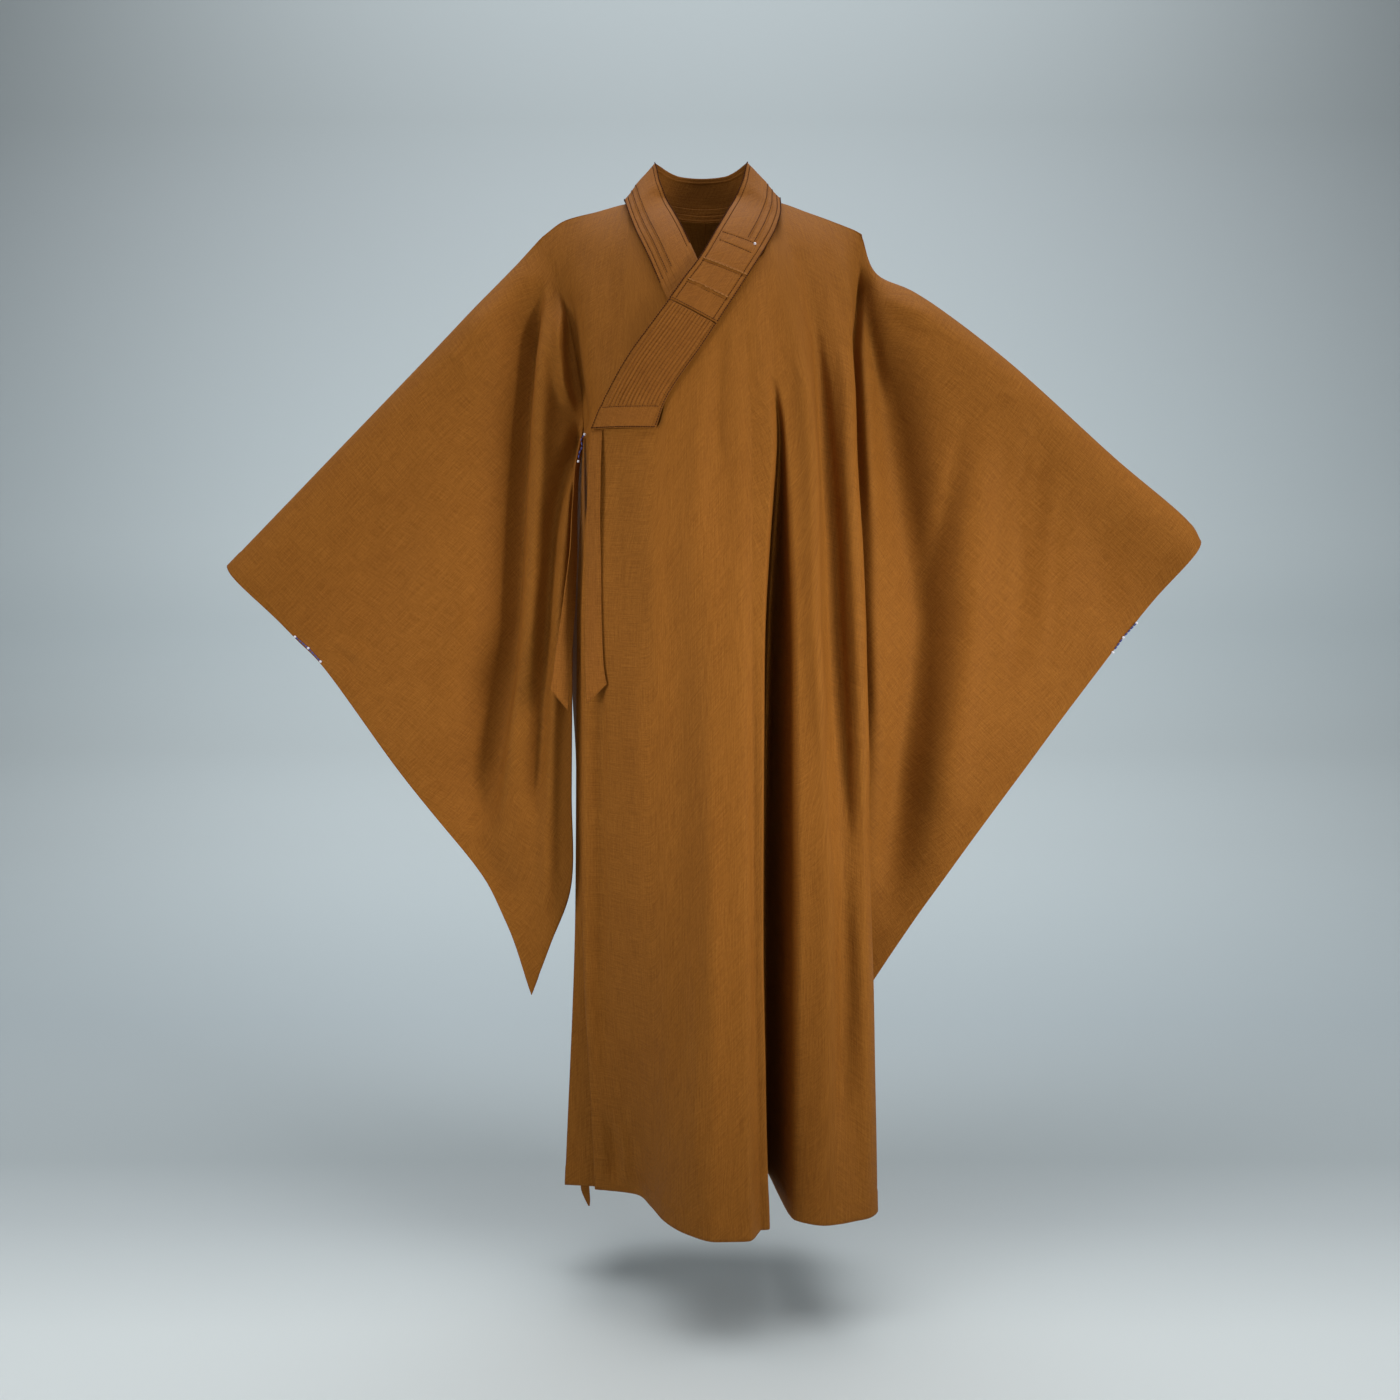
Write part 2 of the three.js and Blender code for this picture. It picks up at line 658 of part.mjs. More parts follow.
const neckCore = new THREE.Vector3(-4, 60, -120);
const collarGrid = bandGrid(BAND_ROWS, BAND_SHARES);
wall("collar", collarGrid, {
  core: neckCore,
  raised: (row, column) => stripHeight(row / (collarGrid.length - 1), BAND_SHARES[column]),
  thickness: BAND,
  colour: BAND_COLOUR,
});
const quiltGrid = bandGrid(QUILT_ROWS, QUILT_SHARES);
wall("collar_quilted", quiltGrid, {
  core: neckCore,
  raised: (row, column) => quiltHeight(row / (quiltGrid.length - 1), QUILT_SHARES[column]),
  thickness: BAND,
  colour: BAND_COLOUR,
});

// Ties and the band's end at the hem: flat strips, a row for each station from the sewn end. Turn
// is the angle of the strip's width from the frontal plane, slant the drop of its -X edge.
const STRIP_THICKNESS = 1.6;
const STRIP_COLUMNS = ["x", "y", "z", "half", "turn", "slant"];
const STRIPS = {
  tie_outer: [
    [-134, -77.3, -307.7, 8, -28, 0],
    [-137, -73, -370, 9, -28, 0],
    [-139, -67, -440, 10, -26, 0],
    [-139, -63, -520, 11, -22, 0],
    [-138, -62, -590, 12, -16, 0],
    [-135, -63, -632, 13, -12, 24],
  ],
  tie_side: [
    [-157.7, -13, -302, 5, 80, 0],
    [-164.5, -23, -360, 9, 80, 0],
    [-167, -30, -450, 10, 70, 0],
    [-173, -36, -530, 11, 50, 0],
    [-180, -42, -600, 11, 25, 0],
    [-184, -43, -640, 11, 15, -26],
  ],
  hem_tab: [
    [-156.5, 0.9, -1258, 6, 0, 0],
    [-156, 0.9, -1276, 5.5, 0, 0],
    [-153, 0.9, -1290, 3.5, 0, 0],
    [-151, 0.9, -1299, 1, 0, 0],
  ],
};

const STRIP_ROWS_BETWEEN = 3;
const behindStrips = new THREE.Vector3(-120, 400, -600);

for (const [name, rows] of Object.entries(STRIPS)) {
  const lines = STRIP_COLUMNS.map((column, i) => through(rows.map((row) => row[i])));
  const steps = (rows.length - 1) * STRIP_ROWS_BETWEEN;
  const grid = Array.from({ length: steps + 1 }, (_, step) => {
    const [x, y, z, half, turn, slant] = lines.map((line) => line(step / steps));
    const angle = THREE.MathUtils.degToRad(turn);
    const edgeStep = new THREE.Vector3(half * Math.cos(angle), half * Math.sin(angle), slant / 2);
    return [-1, 0, 1].map((edge) => new THREE.Vector3(x, y, z).addScaledVector(edgeStep, edge));
  });
  wall(name, grid, { core: behindStrips, thickness: STRIP_THICKNESS, colour: BAND_COLOUR });
}

export default robe;
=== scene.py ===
# A long crossed-front monk's robe, sewn from one brown crepe cloth and hung as it is worn, hollow,
# with its wide sleeves held out. Sizes in the tables are millimetres, from the shoulder line at
# the middle of the neck: x to the wearer's left, y backwards, z up.
import math

import bmesh
import bpy
import numpy as np
from mathutils import Matrix, Vector, noise


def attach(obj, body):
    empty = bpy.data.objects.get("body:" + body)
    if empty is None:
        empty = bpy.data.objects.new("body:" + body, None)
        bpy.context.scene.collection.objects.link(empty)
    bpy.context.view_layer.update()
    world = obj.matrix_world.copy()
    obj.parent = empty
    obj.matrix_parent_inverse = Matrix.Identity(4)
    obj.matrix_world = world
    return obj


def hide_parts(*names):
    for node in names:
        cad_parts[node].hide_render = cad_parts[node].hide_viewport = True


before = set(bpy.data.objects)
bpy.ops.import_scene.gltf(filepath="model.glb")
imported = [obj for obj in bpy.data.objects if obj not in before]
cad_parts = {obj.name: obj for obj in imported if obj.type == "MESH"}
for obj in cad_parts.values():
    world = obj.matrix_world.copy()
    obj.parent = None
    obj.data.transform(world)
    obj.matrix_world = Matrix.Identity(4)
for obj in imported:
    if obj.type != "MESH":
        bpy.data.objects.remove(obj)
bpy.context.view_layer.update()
MM = 0.001


# The studio: a camera at chest height straight in front, a pale floor turning up into a backdrop
# that bears painted bands of light and shade, and large soft lights at both sides, so that folds are
# bright where they face the side.
CAMERA_PLACE = (-0.0065, -1.365, -0.6045)
CAMERA_LENS, CAMERA_SENSOR = 27, 36
HORIZON_SHIFT = -0.02
FLOOR_Z = -1.41
BACKDROP_HALF = 4.5
BACKDROP_SECTION = [
    (-3.5, 0.0), (-1.0, 0.0), (0.6, 0.0), (1.5, 0.0), (2.0, 0.04), (2.4, 0.18), (2.7, 0.5),
    (2.8, 1.0), (2.8, 3.6),
]
ROOM_COLOUR, ROOM_LIGHT = (0.86, 0.93, 1.0, 1), 0.07
PAPER_SHADING_FROM_Y, PAPER_SHADING_PER_Y, PAPER_SHADING_PER_Z = -1.2, 0.22, 0.04
# Painted light and shade on the backdrop: a ramp of darker and lighter bands by depth and height.
PAPER_PAINTED_SHADING = [
    (0.20, (0.80, 0.86, 0.87, 1)),
    (0.245, (0.74, 0.80, 0.81, 1)),
    (0.303, (0.52, 0.57, 0.59, 1)),
    (0.345, (0.42, 0.47, 0.49, 1)),
    (0.50, (0.44, 0.50, 0.53, 1)),
    (0.88, (0.575, 0.645, 0.67, 1)),
    (0.915, (0.63, 0.71, 0.74, 1)),
    (0.932, (0.66, 0.74, 0.77, 1)),
    (0.95, (0.59, 0.665, 0.695, 1)),
    (0.988, (0.45, 0.505, 0.53, 1)),
    (1.0, (0.40, 0.45, 0.47, 1)),
]
SOFTBOXES = [
    ("softbox_left", (-1.6, -1.15, -0.5), (0.3, 0.0, -0.56), 0.7, 57, 2.05),
    ("softbox_right", (1.6, -1.15, -0.54), (-0.1, 0.0, -0.6), 0.7, 58, 3.95),
    ("softbox_front", (0.3, -2.2, -0.45), (0.05, 0.0, -0.54), 0.8, 57, 0.78),
    ("backdrop_light", (0.0, 0.5, 3.1), (0.0, 2.8, -1.6), 4.5, 150, 157),
]

camera_data = bpy.data.cameras.new("camera")
camera_data.lens = CAMERA_LENS
camera_data.sensor_width = CAMERA_SENSOR
camera_data.shift_y = HORIZON_SHIFT
camera = bpy.data.objects.new("camera", camera_data)
camera.location = CAMERA_PLACE
camera.rotation_euler = (math.radians(90), 0, 0)
bpy.context.collection.objects.link(camera)
bpy.context.scene.camera = camera
bpy.context.scene.view_settings.view_transform = "Standard"

for name, place, target, size, spread, power in SOFTBOXES:
    lamp = bpy.data.lights.new(name, "AREA")
    lamp.size = size
    lamp.spread = math.radians(spread)
    lamp.energy = power
    softbox = bpy.data.objects.new(name, lamp)
    softbox.location = place
    aim = Vector(target) - Vector(place)
    softbox.rotation_euler = aim.to_track_quat("-Z", "Y").to_euler()
    bpy.context.collection.objects.link(softbox)

room = bpy.data.worlds.new("room")
bpy.context.scene.world = room
room.use_nodes = True
room.node_tree.nodes["Background"].inputs["Color"].default_value = ROOM_COLOUR
room.node_tree.nodes["Background"].inputs["Strength"].default_value = ROOM_LIGHT


class Strand:
    """One output of a shader node. Sums on it add Math nodes."""

    def __init__(self, tree, socket):
        self.tree = tree
        self.socket = socket

    def node(self, kind, sockets, settings=(), output=0):
        made = self.tree.nodes.new(kind)
        for setting, value in dict(settings).items():
            if setting == "stops":
                made.color_ramp.elements[0].position, made.color_ramp.elements[0].color = value[0]
                made.color_ramp.elements[1].position, made.color_ramp.elements[1].color = value[-1]
                for position, colour in value[1:-1]:
                    made.color_ramp.elements.new(position).color = colour
            else:
                setattr(made, setting, value)
        for name, value in sockets.items():
            if isinstance(value, Strand):
                self.tree.links.new(value.socket, made.inputs[name])
            else:
                made.inputs[name].default_value = value
        return Strand(self.tree, made.outputs[output])

    def maths(self, operation, first, second):
        return self.node("ShaderNodeMath", {0: first, 1: second}, {"operation": operation})

    def __add__(self, other):
        return self.maths("ADD", self, other)

    __radd__ = __add__

    def __sub__(self, other):
        return self.maths("SUBTRACT", self, other)

    def __mul__(self, other):
        return self.maths("MULTIPLY", self, other)


def new_finish(name):
    """A material with an empty Principled shader, and a strand to start its other nodes from."""
    material = bpy.data.materials.new(name)
    material.use_nodes = True
    shader = material.node_tree.nodes["Principled BSDF"]
    return material, shader, Strand(material.node_tree, shader.outputs[0])


backdrop_finish, shader, start = new_finish("backdrop_painted_shading")
place = start.node("ShaderNodeTexCoord", {}, output="Object")
depth = place.node("ShaderNodeSeparateXYZ", {"Vector": place}, output="Y")
height = place.node("ShaderNodeSeparateXYZ", {"Vector": place}, output="Z")
# Painted shading: the backdrop's colour is darkened and lightened in bands by depth and height.
shade = (depth - PAPER_SHADING_FROM_Y) * PAPER_SHADING_PER_Y + (height - FLOOR_Z) * PAPER_SHADING_PER_Z
paper_shading = shade.node("ShaderNodeValToRGB", {"Fac": shade}, {"stops": PAPER_PAINTED_SHADING})
backdrop_finish.node_tree.links.new(paper_shading.socket, shader.inputs["Base Color"])
shader.inputs["Roughness"].default_value = 0.9
shader.inputs["Specular IOR Level"].default_value = 0.1

bpy.ops.object.select_all(action="DESELECT")
bpy.ops.mesh.primitive_plane_add(size=1, location=(0, 0, 0))
backdrop = bpy.context.object
backdrop.name = "backdrop"
section = np.array(BACKDROP_SECTION)
corners = [(x, y, FLOOR_Z + z) for y, z in section for x in (-BACKDROP_HALF, BACKDROP_HALF)]
strips = [(2 * i, 2 * i + 1, 2 * i + 3, 2 * i + 2) for i in range(len(section) - 1)]
backdrop.data.clear_geometry()
backdrop.data.from_pydata(corners, [], strips)
backdrop.data.polygons.foreach_set("use_smooth", [True] * len(strips))
backdrop.data.materials.append(backdrop_finish)


# The wearer's left front: one length of brown crepe from the shoulder to the hem, set in one deep
# pleat beside the centre seam and in rounder folds that hang from the shoulder's end. The crepe has
# slubbed threads both ways, a dry surface and a slight sheen along its folds.
UNDERARM_Z, WAIST_Z, KNEE_Z, HEM_Z = -290, -560, -900, -1271
UNDERARM_SHARE = 0.4
NECK_POINT_X, NECK_POINT_Z, ARM_POINT_X = 91, 6.5, 214
RIGHT_FALL, LEFT_FALL = [(32, 1), (17, 12)], [(44, 1.1), (10, 20)]
SHOULDER_ROUND, NAPE_DROP = 72, 70
CHEST_DEPTH, CHEST_SLOPE, CHEST_HALF, CHEST_CURVE = 114, 62, 165, 2.2
PUCKER_REACH, PUCKER_RISE, SEAM_REACH, SEAM_SINK = 9, 0.4, 2.5, 0.35
HEM_DEEP, HEM_RISE, HEM_TURN, HEM_STITCH, HEM_STITCH_HALF = 26, 0.5, 2, 0.6, 1.2
SIDE_HEM_SHARE = 0.6
EDGE_HELD, TOP_HELD = 14, 20
CLOTH_THICK = 0.9 * MM
WARP_SLUBS, WEFT_SLUBS, CREPE_GRAIN, WEAR_PATCHES = (950, 26), (34, 1150), (420, 300), (9, 6)
CREPE_TONE, WEAR_TONE, DARK_AT, LIGHT_AT = 0.3, 0.12, 0.34, 0.68
CLOTH_ROUGH, WARP_ROUGH, WEFT_ROUGH, CLOTH_SPECULAR = 0.56, 0.2, 0.12, 0.17
RELIEF_DEPTH, RELIEF_STRENGTH = 0.0006, 0.55
WARP_RELIEF, WEFT_RELIEF, CREPE_RELIEF = 0.55, 0.6, 0.9
SHEEN_TINT = (1.0, 0.72, 0.38, 1)
CLOTH_MID = (0.232, 0.082, 0.0110)
CLOTH_DARK = (0.184, 0.060, 0.0075)
CLOTH_LIGHT = (0.278, 0.104, 0.0160)


def weave_cloth(name, mid, dark, light):
    material, shader, start = new_finish(name)
    threads = start.node("ShaderNodeUVMap", {}, {"uv_map": "threads"})

    def slubs(along_u, along_v, detail=2.0):
        scale = (along_u, along_v, 1)
        stretched = threads.node("ShaderNodeMapping", {"Vector": threads, "Scale": scale})
        return stretched.node(
            "ShaderNodeTexNoise",
            {"Vector": stretched, "Scale": 1.0, "Detail": detail, "Roughness": 0.6},
            {"noise_dimensions": "2D"},
        )

    warp = slubs(*WARP_SLUBS)
    weft = slubs(*WEFT_SLUBS)
    crepe = slubs(*CREPE_GRAIN)
    wear = slubs(*WEAR_PATCHES, 3.0)
    tone = (warp + weft) * 0.5 + (crepe - 0.5) * CREPE_TONE + (wear - 0.5) * WEAR_TONE
    stops = [(DARK_AT, (*dark, 1)), (0.5, (*mid, 1)), (LIGHT_AT, (*light, 1))]
    dyed = tone.node("ShaderNodeValToRGB", {"Fac": tone}, {"stops": stops})
    tree = material.node_tree
    tree.links.new(dyed.socket, shader.inputs["Base Color"])
    rough = CLOTH_ROUGH + warp * WARP_ROUGH + weft * WEFT_ROUGH
    tree.links.new(rough.socket, shader.inputs["Roughness"])
    relief = warp * WARP_RELIEF + weft * WEFT_RELIEF + crepe * CREPE_RELIEF
    bump = relief.node(
        "ShaderNodeBump",
        {"Height": relief, "Strength": RELIEF_STRENGTH, "Distance": RELIEF_DEPTH},
    )
    tree.links.new(bump.socket, shader.inputs["Normal"])
    shader.inputs["Specular IOR Level"].default_value = CLOTH_SPECULAR
    shader.inputs["Specular Tint"].default_value = SHEEN_TINT
    return material


cloth_finish = weave_cloth("brown_crepe", CLOTH_MID, CLOTH_DARK, CLOTH_LIGHT)


def mix(a, b, share):
    return a + (b - a) * share


def smooth(low, high, value):
    share = np.clip((value - low) / (high - low), 0, 1)
    return share * share * (3 - 2 * share)


def near(distance, reach):
    """A soft bell: 1 at no distance, and next to nothing past twice the reach."""
    return np.exp(-((distance / reach) ** 2))


def through(values, shares):
    """A smooth line through evenly spaced values that never swings past them."""
    values = np.asarray(values, float)
    steps = np.diff(values, axis=0)
    product = steps[:-1] * steps[1:]
    total = steps[:-1] + steps[1:]
    turning = product > 0
    inner = np.where(turning, 2 * product / np.where(turning, total, 1), 0)
    slopes = np.concatenate([steps[:1], inner, steps[-1:]])
    at = np.asarray(shares, float) * len(steps)
    i = np.minimum(at.astype(int), len(steps) - 1)
    u = (at - i).reshape((-1,) + (1,) * (values.ndim - 1))
    swing = u * (1 - u) * ((1 - u) * (slopes[i] - steps[i]) - u * (slopes[i + 1] - steps[i]))
    return mix(values[i], values[i + 1], u) + swing


def shoulder_z(x):
    out = np.maximum(0, (np.abs(x) - NECK_POINT_X) / (ARM_POINT_X - NECK_POINT_X))
    right, left = [sum(fall * out**power for fall, power in side) for side in (RIGHT_FALL, LEFT_FALL)]
    return NECK_POINT_Z - np.where(np.asarray(x) < 0, right, left)


def rounding(drop):
    """How much of its depth the cloth has reached at this drop below the shoulder line."""
    return 1 - np.exp(-np.maximum(0, drop) / SHOULDER_ROUND)


def chest_depth(x):
    return CHEST_DEPTH - CHEST_SLOPE * (np.abs(x) / CHEST_HALF) ** CHEST_CURVE


def chest_y(x, z):
    return -chest_depth(x) * rounding(shoulder_z(x) - z)


def rail(row, shares, faces, behind):
    """One fold or seam from its top to the hem, as points at these shares of it."""
    top_z = row.get("top_z")
    top_z = shoulder_z(row["top_x"]) if top_z is None else top_z
    arm_z = row.get("arm_z", mix(top_z, WAIST_Z, 0.5))
    top_depth = row.get("top_depth", chest_depth(row["top_x"]) - behind)
    yoke_x = row.get("yoke_x", mix(row["top_x"], row["arm_x"], 0.5))
    yoke_z = row.get("yoke_z", mix(top_z, arm_z, 0.5))
    yoke_depth = row.get("yoke_depth", mix(top_depth, row["arm"], 0.6))
    xs = [row["top_x"], yoke_x, row["arm_x"], row["waist_x"], row["knee_x"], row["hem_x"]]
    zs = [top_z, yoke_z, arm_z, WAIST_Z, KNEE_Z, HEM_Z]
    depths = [top_depth, yoke_depth, row["arm"], row["waist"], row["knee"], row["hem"]]
    x, z, depth = through(np.array([xs, zs, depths]).T, shares).T
    nape = NAPE_DROP * np.maximum(0, 1 - (x / NECK_POINT_X) ** 2) if faces > 0 else 0
    y = faces * depth * rounding(shoulder_z(x) + nape - z)
    return np.stack([x, y, z], axis=1)


RAIL_COLUMNS = "top_x top_z arm_x arm waist_x waist knee_x knee hem_x hem yoke_depth".split()
SEAM_COLUMNS = (
    "top_x top_z top_depth yoke_x yoke_z yoke_depth arm_x arm_z arm "
    "waist_x waist knee_x knee hem_x hem"
).split()


def rails(columns, rows, faces, behind=0):
    named = [dict(zip(columns, row)) for row in rows]
    return [lambda shares, row=row: rail(row, shares, faces, behind) for row in named]


def drape(lines, rows, columns):
    """Lays cloth over neighbouring rails: points[row][column] at these shares down and across."""
    points = np.stack([line(rows) for line in lines])
    return through(points, columns).transpose(1, 0, 2)


def fold(x, z, path, width, depth, fade=0.25, other=None):
    """A soft ridge, or with a minus depth a trough, along a path in x and z. It dies away at
    both ends over the fade share, and its other flank may have a width of its own."""
    path = np.asarray(path, float)
    best = np.full(np.shape(x), 1e9)
    along = np.zeros(np.shape(x))
    flank = np.zeros(np.shape(x))
    for i, (start, end) in enumerate(zip(path[:-1], path[1:])):
        run = end - start
        share = np.clip(((x - start[0]) * run[0] + (z - start[1]) * run[1]) / run.dot(run), 0, 1)
        off_x = x - start[0] - run[0] * share
        off_z = z - start[1] - run[1] * share
        away = np.hypot(off_x, off_z)
        nearer = away < best
        best = np.where(nearer, away, best)
        along = np.where(nearer, (i + share) / (len(path) - 1), along)
        flank = np.where(nearer, off_x * run[1] - off_z * run[0], flank)
    spread = np.where(flank > 0, width, other or width)
    ends = smooth(0, fade, along) * smooth(1, 1 - fade, along)
    return depth * near(best, spread) * ends


def outward_normals(points, core):
    down = np.gradient(points, axis=0)
    across = np.gradient(points, axis=1)
    normals = np.cross(down, across)
    normals /= np.maximum(np.linalg.norm(normals, axis=2, keepdims=True), 1e-9)
    facing = np.sign((normals * (points - np.asarray(core, float))).sum())
    return normals * facing, facing


def lengths(points):
    """Distances along the cloth: from the first and last column, and from the top and foot."""
    across = np.linalg.norm(np.diff(points, axis=1), axis=2).cumsum(axis=1)
    down = np.linalg.norm(np.diff(points, axis=0), axis=2).cumsum(axis=0)
    left = np.pad(across, ((0, 0), (1, 0)))
    top = np.pad(down, ((1, 0), (0, 0)))
    return left, left[:, -1:] - left, top, top[-1:] - top


def rumple(points, size, stretch, seed):
    """Slow uneven swelling of the cloth, from -1 to 1, longer along z by the stretch."""
    flat = points.reshape(-1, 3) / size
    flat[:, 2] /= stretch
    values = [noise.noise(Vector(point) + Vector((seed, 0, 0))) for point in flat]
    return np.array(values).reshape(points.shape[:2])


def cut_cloth(name, points, core, finish, thick=CLOTH_THICK):
    """Makes a piece of cloth from rows of points in millimetres, and gives it its thickness."""
    rows, columns = points.shape[:2]
    facing = outward_normals(points, core)[1]
    left, right, top, _ = lengths(points)
    mesh = bpy.data.meshes.new(name)
    index = np.arange(rows * columns).reshape(rows, columns)
    quads = np.stack([index[:-1, :-1], index[1:, :-1], index[1:, 1:], index[:-1, 1:]], axis=2)
    if facing < 0:
        quads = quads[:, :, ::-1]
    mesh.from_pydata((points.reshape(-1, 3) * MM).tolist(), [], quads.reshape(-1, 4).tolist())
    threads = mesh.uv_layers.new(name="threads")
    middle = (left - right).reshape(-1) * 0.5 * MM
    hang = -top.reshape(-1) * MM
    corners = np.array([loop.vertex_index for loop in mesh.loops])
    threads.data.foreach_set("uv", np.stack([middle[corners], hang[corners]], axis=1).ravel())
    mesh.polygons.foreach_set("use_smooth", [True] * len(mesh.polygons))
    mesh.materials.append(finish)
    piece = bpy.data.objects.new(name, mesh)
    bpy.context.collection.objects.link(piece)
    bpy.ops.object.select_all(action="DESELECT")
    bpy.context.view_layer.objects.active = piece
    piece.select_set(True)
    wall = piece.modifiers.new("wall", "SOLIDIFY")
    wall.thickness = thick
    wall.offset = -1
    bpy.ops.object.modifier_apply(modifier=wall.name)
    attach(piece, "root")
    return piece


def seam_dip(distance, points, seed):
    """Cloth drawn in beside a sewn edge, with small puckers. The edge itself stays in place."""
    pucker = rumple(points, PUCKER_REACH, 1.4, seed) * near(distance, PUCKER_REACH)
    return (PUCKER_RISE * pucker - SEAM_SINK * near(distance, SEAM_REACH)) * smooth(0, 2, distance)


def hem_step(distance, deep=HEM_DEEP):
    """A turned hem: cloth twice as thick below its line of stitching."""
    stitched = HEM_STITCH * near(distance - deep, HEM_STITCH_HALF)
    return HEM_RISE * smooth(deep, deep - HEM_TURN, distance) - stitched


def merge(*shares, digits=12):
    return np.unique(np.concatenate(shares).round(digits))


PANEL_ROWS = merge(
    UNDERARM_SHARE * np.linspace(0, 1, 57) ** 1.5,
    np.linspace(UNDERARM_SHARE, 0.975, 84),
    np.linspace(0.977, 1, 12),
)


def panel_columns(intervals, fine=10):
    """Even columns, closer together at both edges."""
    even = np.linspace(0, 1, intervals * fine + 1)
    edge = np.array([0.003, 0.007, 0.012, 0.02]) * 9 / intervals
    return merge(even, edge, 1 - edge)


def hang_panel(name, lines, folds, swell, seams, fine=10, top_held=TOP_HELD, side_hem=0):
    """A body panel over its rails. The swell is the size, stretch, seed and height of its slow
    unevenness, and the seams are the pucker seeds of its left and right edge, None if it is free."""
    points = drape(lines, PANEL_ROWS, panel_columns(len(lines) - 1, fine))
    left, right, top, foot = lengths(points)
    x, z = points[..., 0], points[..., 2]
    size, stretch, seed, height = swell
    held = smooth(0, top_held, top)
    dips = 0
    for distance, pucker_seed in zip((left, right), seams):
        if pucker_seed is not None:
            held = held * smooth(0, EDGE_HELD, distance)
            dips = dips + seam_dip(distance, points, pucker_seed)
    lift = sum(fold(x, z, *row) for row in folds) * held
    lift += rumple(points, size, stretch, seed) * height * held + dips + hem_step(foot)
    if side_hem:
        lift += SIDE_HEM_SHARE * hem_step(left, side_hem)
    points += outward_normals(points, BODY_CORE)[0] * lift[..., None]
    return cut_cloth(name, points, BODY_CORE, cloth_finish)


BODY_CORE = (0, 0, -600)
right_front_seam, left_front_seam = rails(
    SEAM_COLUMNS,
    [
        (-212, None, 20, -172, -170, 10, -158, UNDERARM_Z, 0, -168, -10, -169.5, -8, -182, 0),
        (203, None, 12, 190, -165, 16, 165, UNDERARM_Z, 0, 163, 0, 163, 0, 172, 0),
    ],
    -1,
)
right_back_seam, left_back_seam = rails(
    SEAM_COLUMNS,
    [
        (-212, None, 34, -172, -170, 34, -158, UNDERARM_Z, 0, -168, 10, -169.5, 8, -182, 0),
        (203, None, 34, 190, -165, 34, 165, UNDERARM_Z, 0, 163, 0, 163, 0, 172, 0),
    ],
    1,
)
CENTRE_SEAM = (46, -128, 56, 108, 57, 117, 58, 116, 66, 111)
FRONT_LEFT_RAILS = [
    CENTRE_SEAM,
    (51, -116, 79, 110, 69, 117, 68, 115, 76, 109),
    (57, -104, 91, 80, 83, -4, 79, -38, 82, -40, 107),
    (68, -96, 99, 102, 110, 104, 113, 101, 109, 88),
    (79, -70, 124, 102, 130, 103, 146, 104, 142, 101),
    (93, None, 136, 86, 142, 86, 155, 97, 160, 98),
    (125, None, 149, 62, 160, 67, 172, 86, 183, 90),
    (155, None, 169, 66, 184, 76, 195, 83, 202, 82),
    (182, None, 188, 53, 198, 51, 207, 56, 214, 62),
    (195, None, 182, 30, 189, 30, 195, 31, 202, 32),
]
FRONT_LEFT_FOLDS = [
    ([(106, -150), (118, -253), (127, -349), (129, -445), (130, -542), (137, -638), (144, -735)],
     12, 8, 0.2, 9),
    ([(132, -140), (147, -250), (155, -349), (161, -445), (164, -542), (168, -638), (174, -735),
      (176, -850)], 13, -8, 0.16, 6.5),
    ([(170, -190), (176, -245), (177, -343), (186, -442), (191, -540), (193, -639), (193, -738),
      (188, -836)], 9, 6, 0.2, 9),
    ([(140, -760), (146, -900), (146, -1060), (140, -1240)], 14, 4, 0.2, 16),
    ([(170, -820), (172, -1000), (168, -1200)], 11, -9, 0.3, 12),
    ([(94, -60), (104, -150), (112, -230)], 8, 1.8, 0.3, 12),
    ([(118, -60), (124, -120), (134, -190)], 7, -2.2, 0.35, 10),
    ([(150, -52), (160, -110), (172, -180)], 6, -2.2, 0.35, 9),
    ([(172, -48), (179, -110), (186, -190)], 5, 2.0, 0.35, 8),
    ([(190, -900), (194, -1060), (196, -1265)], 7, 3.0, 0.25, 10),
]

front_left = hang_panel(
    "left_front",
    rails(RAIL_COLUMNS, FRONT_LEFT_RAILS, -1) + [left_front_seam],
    FRONT_LEFT_FOLDS,
    swell=(42, 3.2, 3.0, 0.9),
    seams=(5.0, 6.0),
)
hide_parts("front_left")


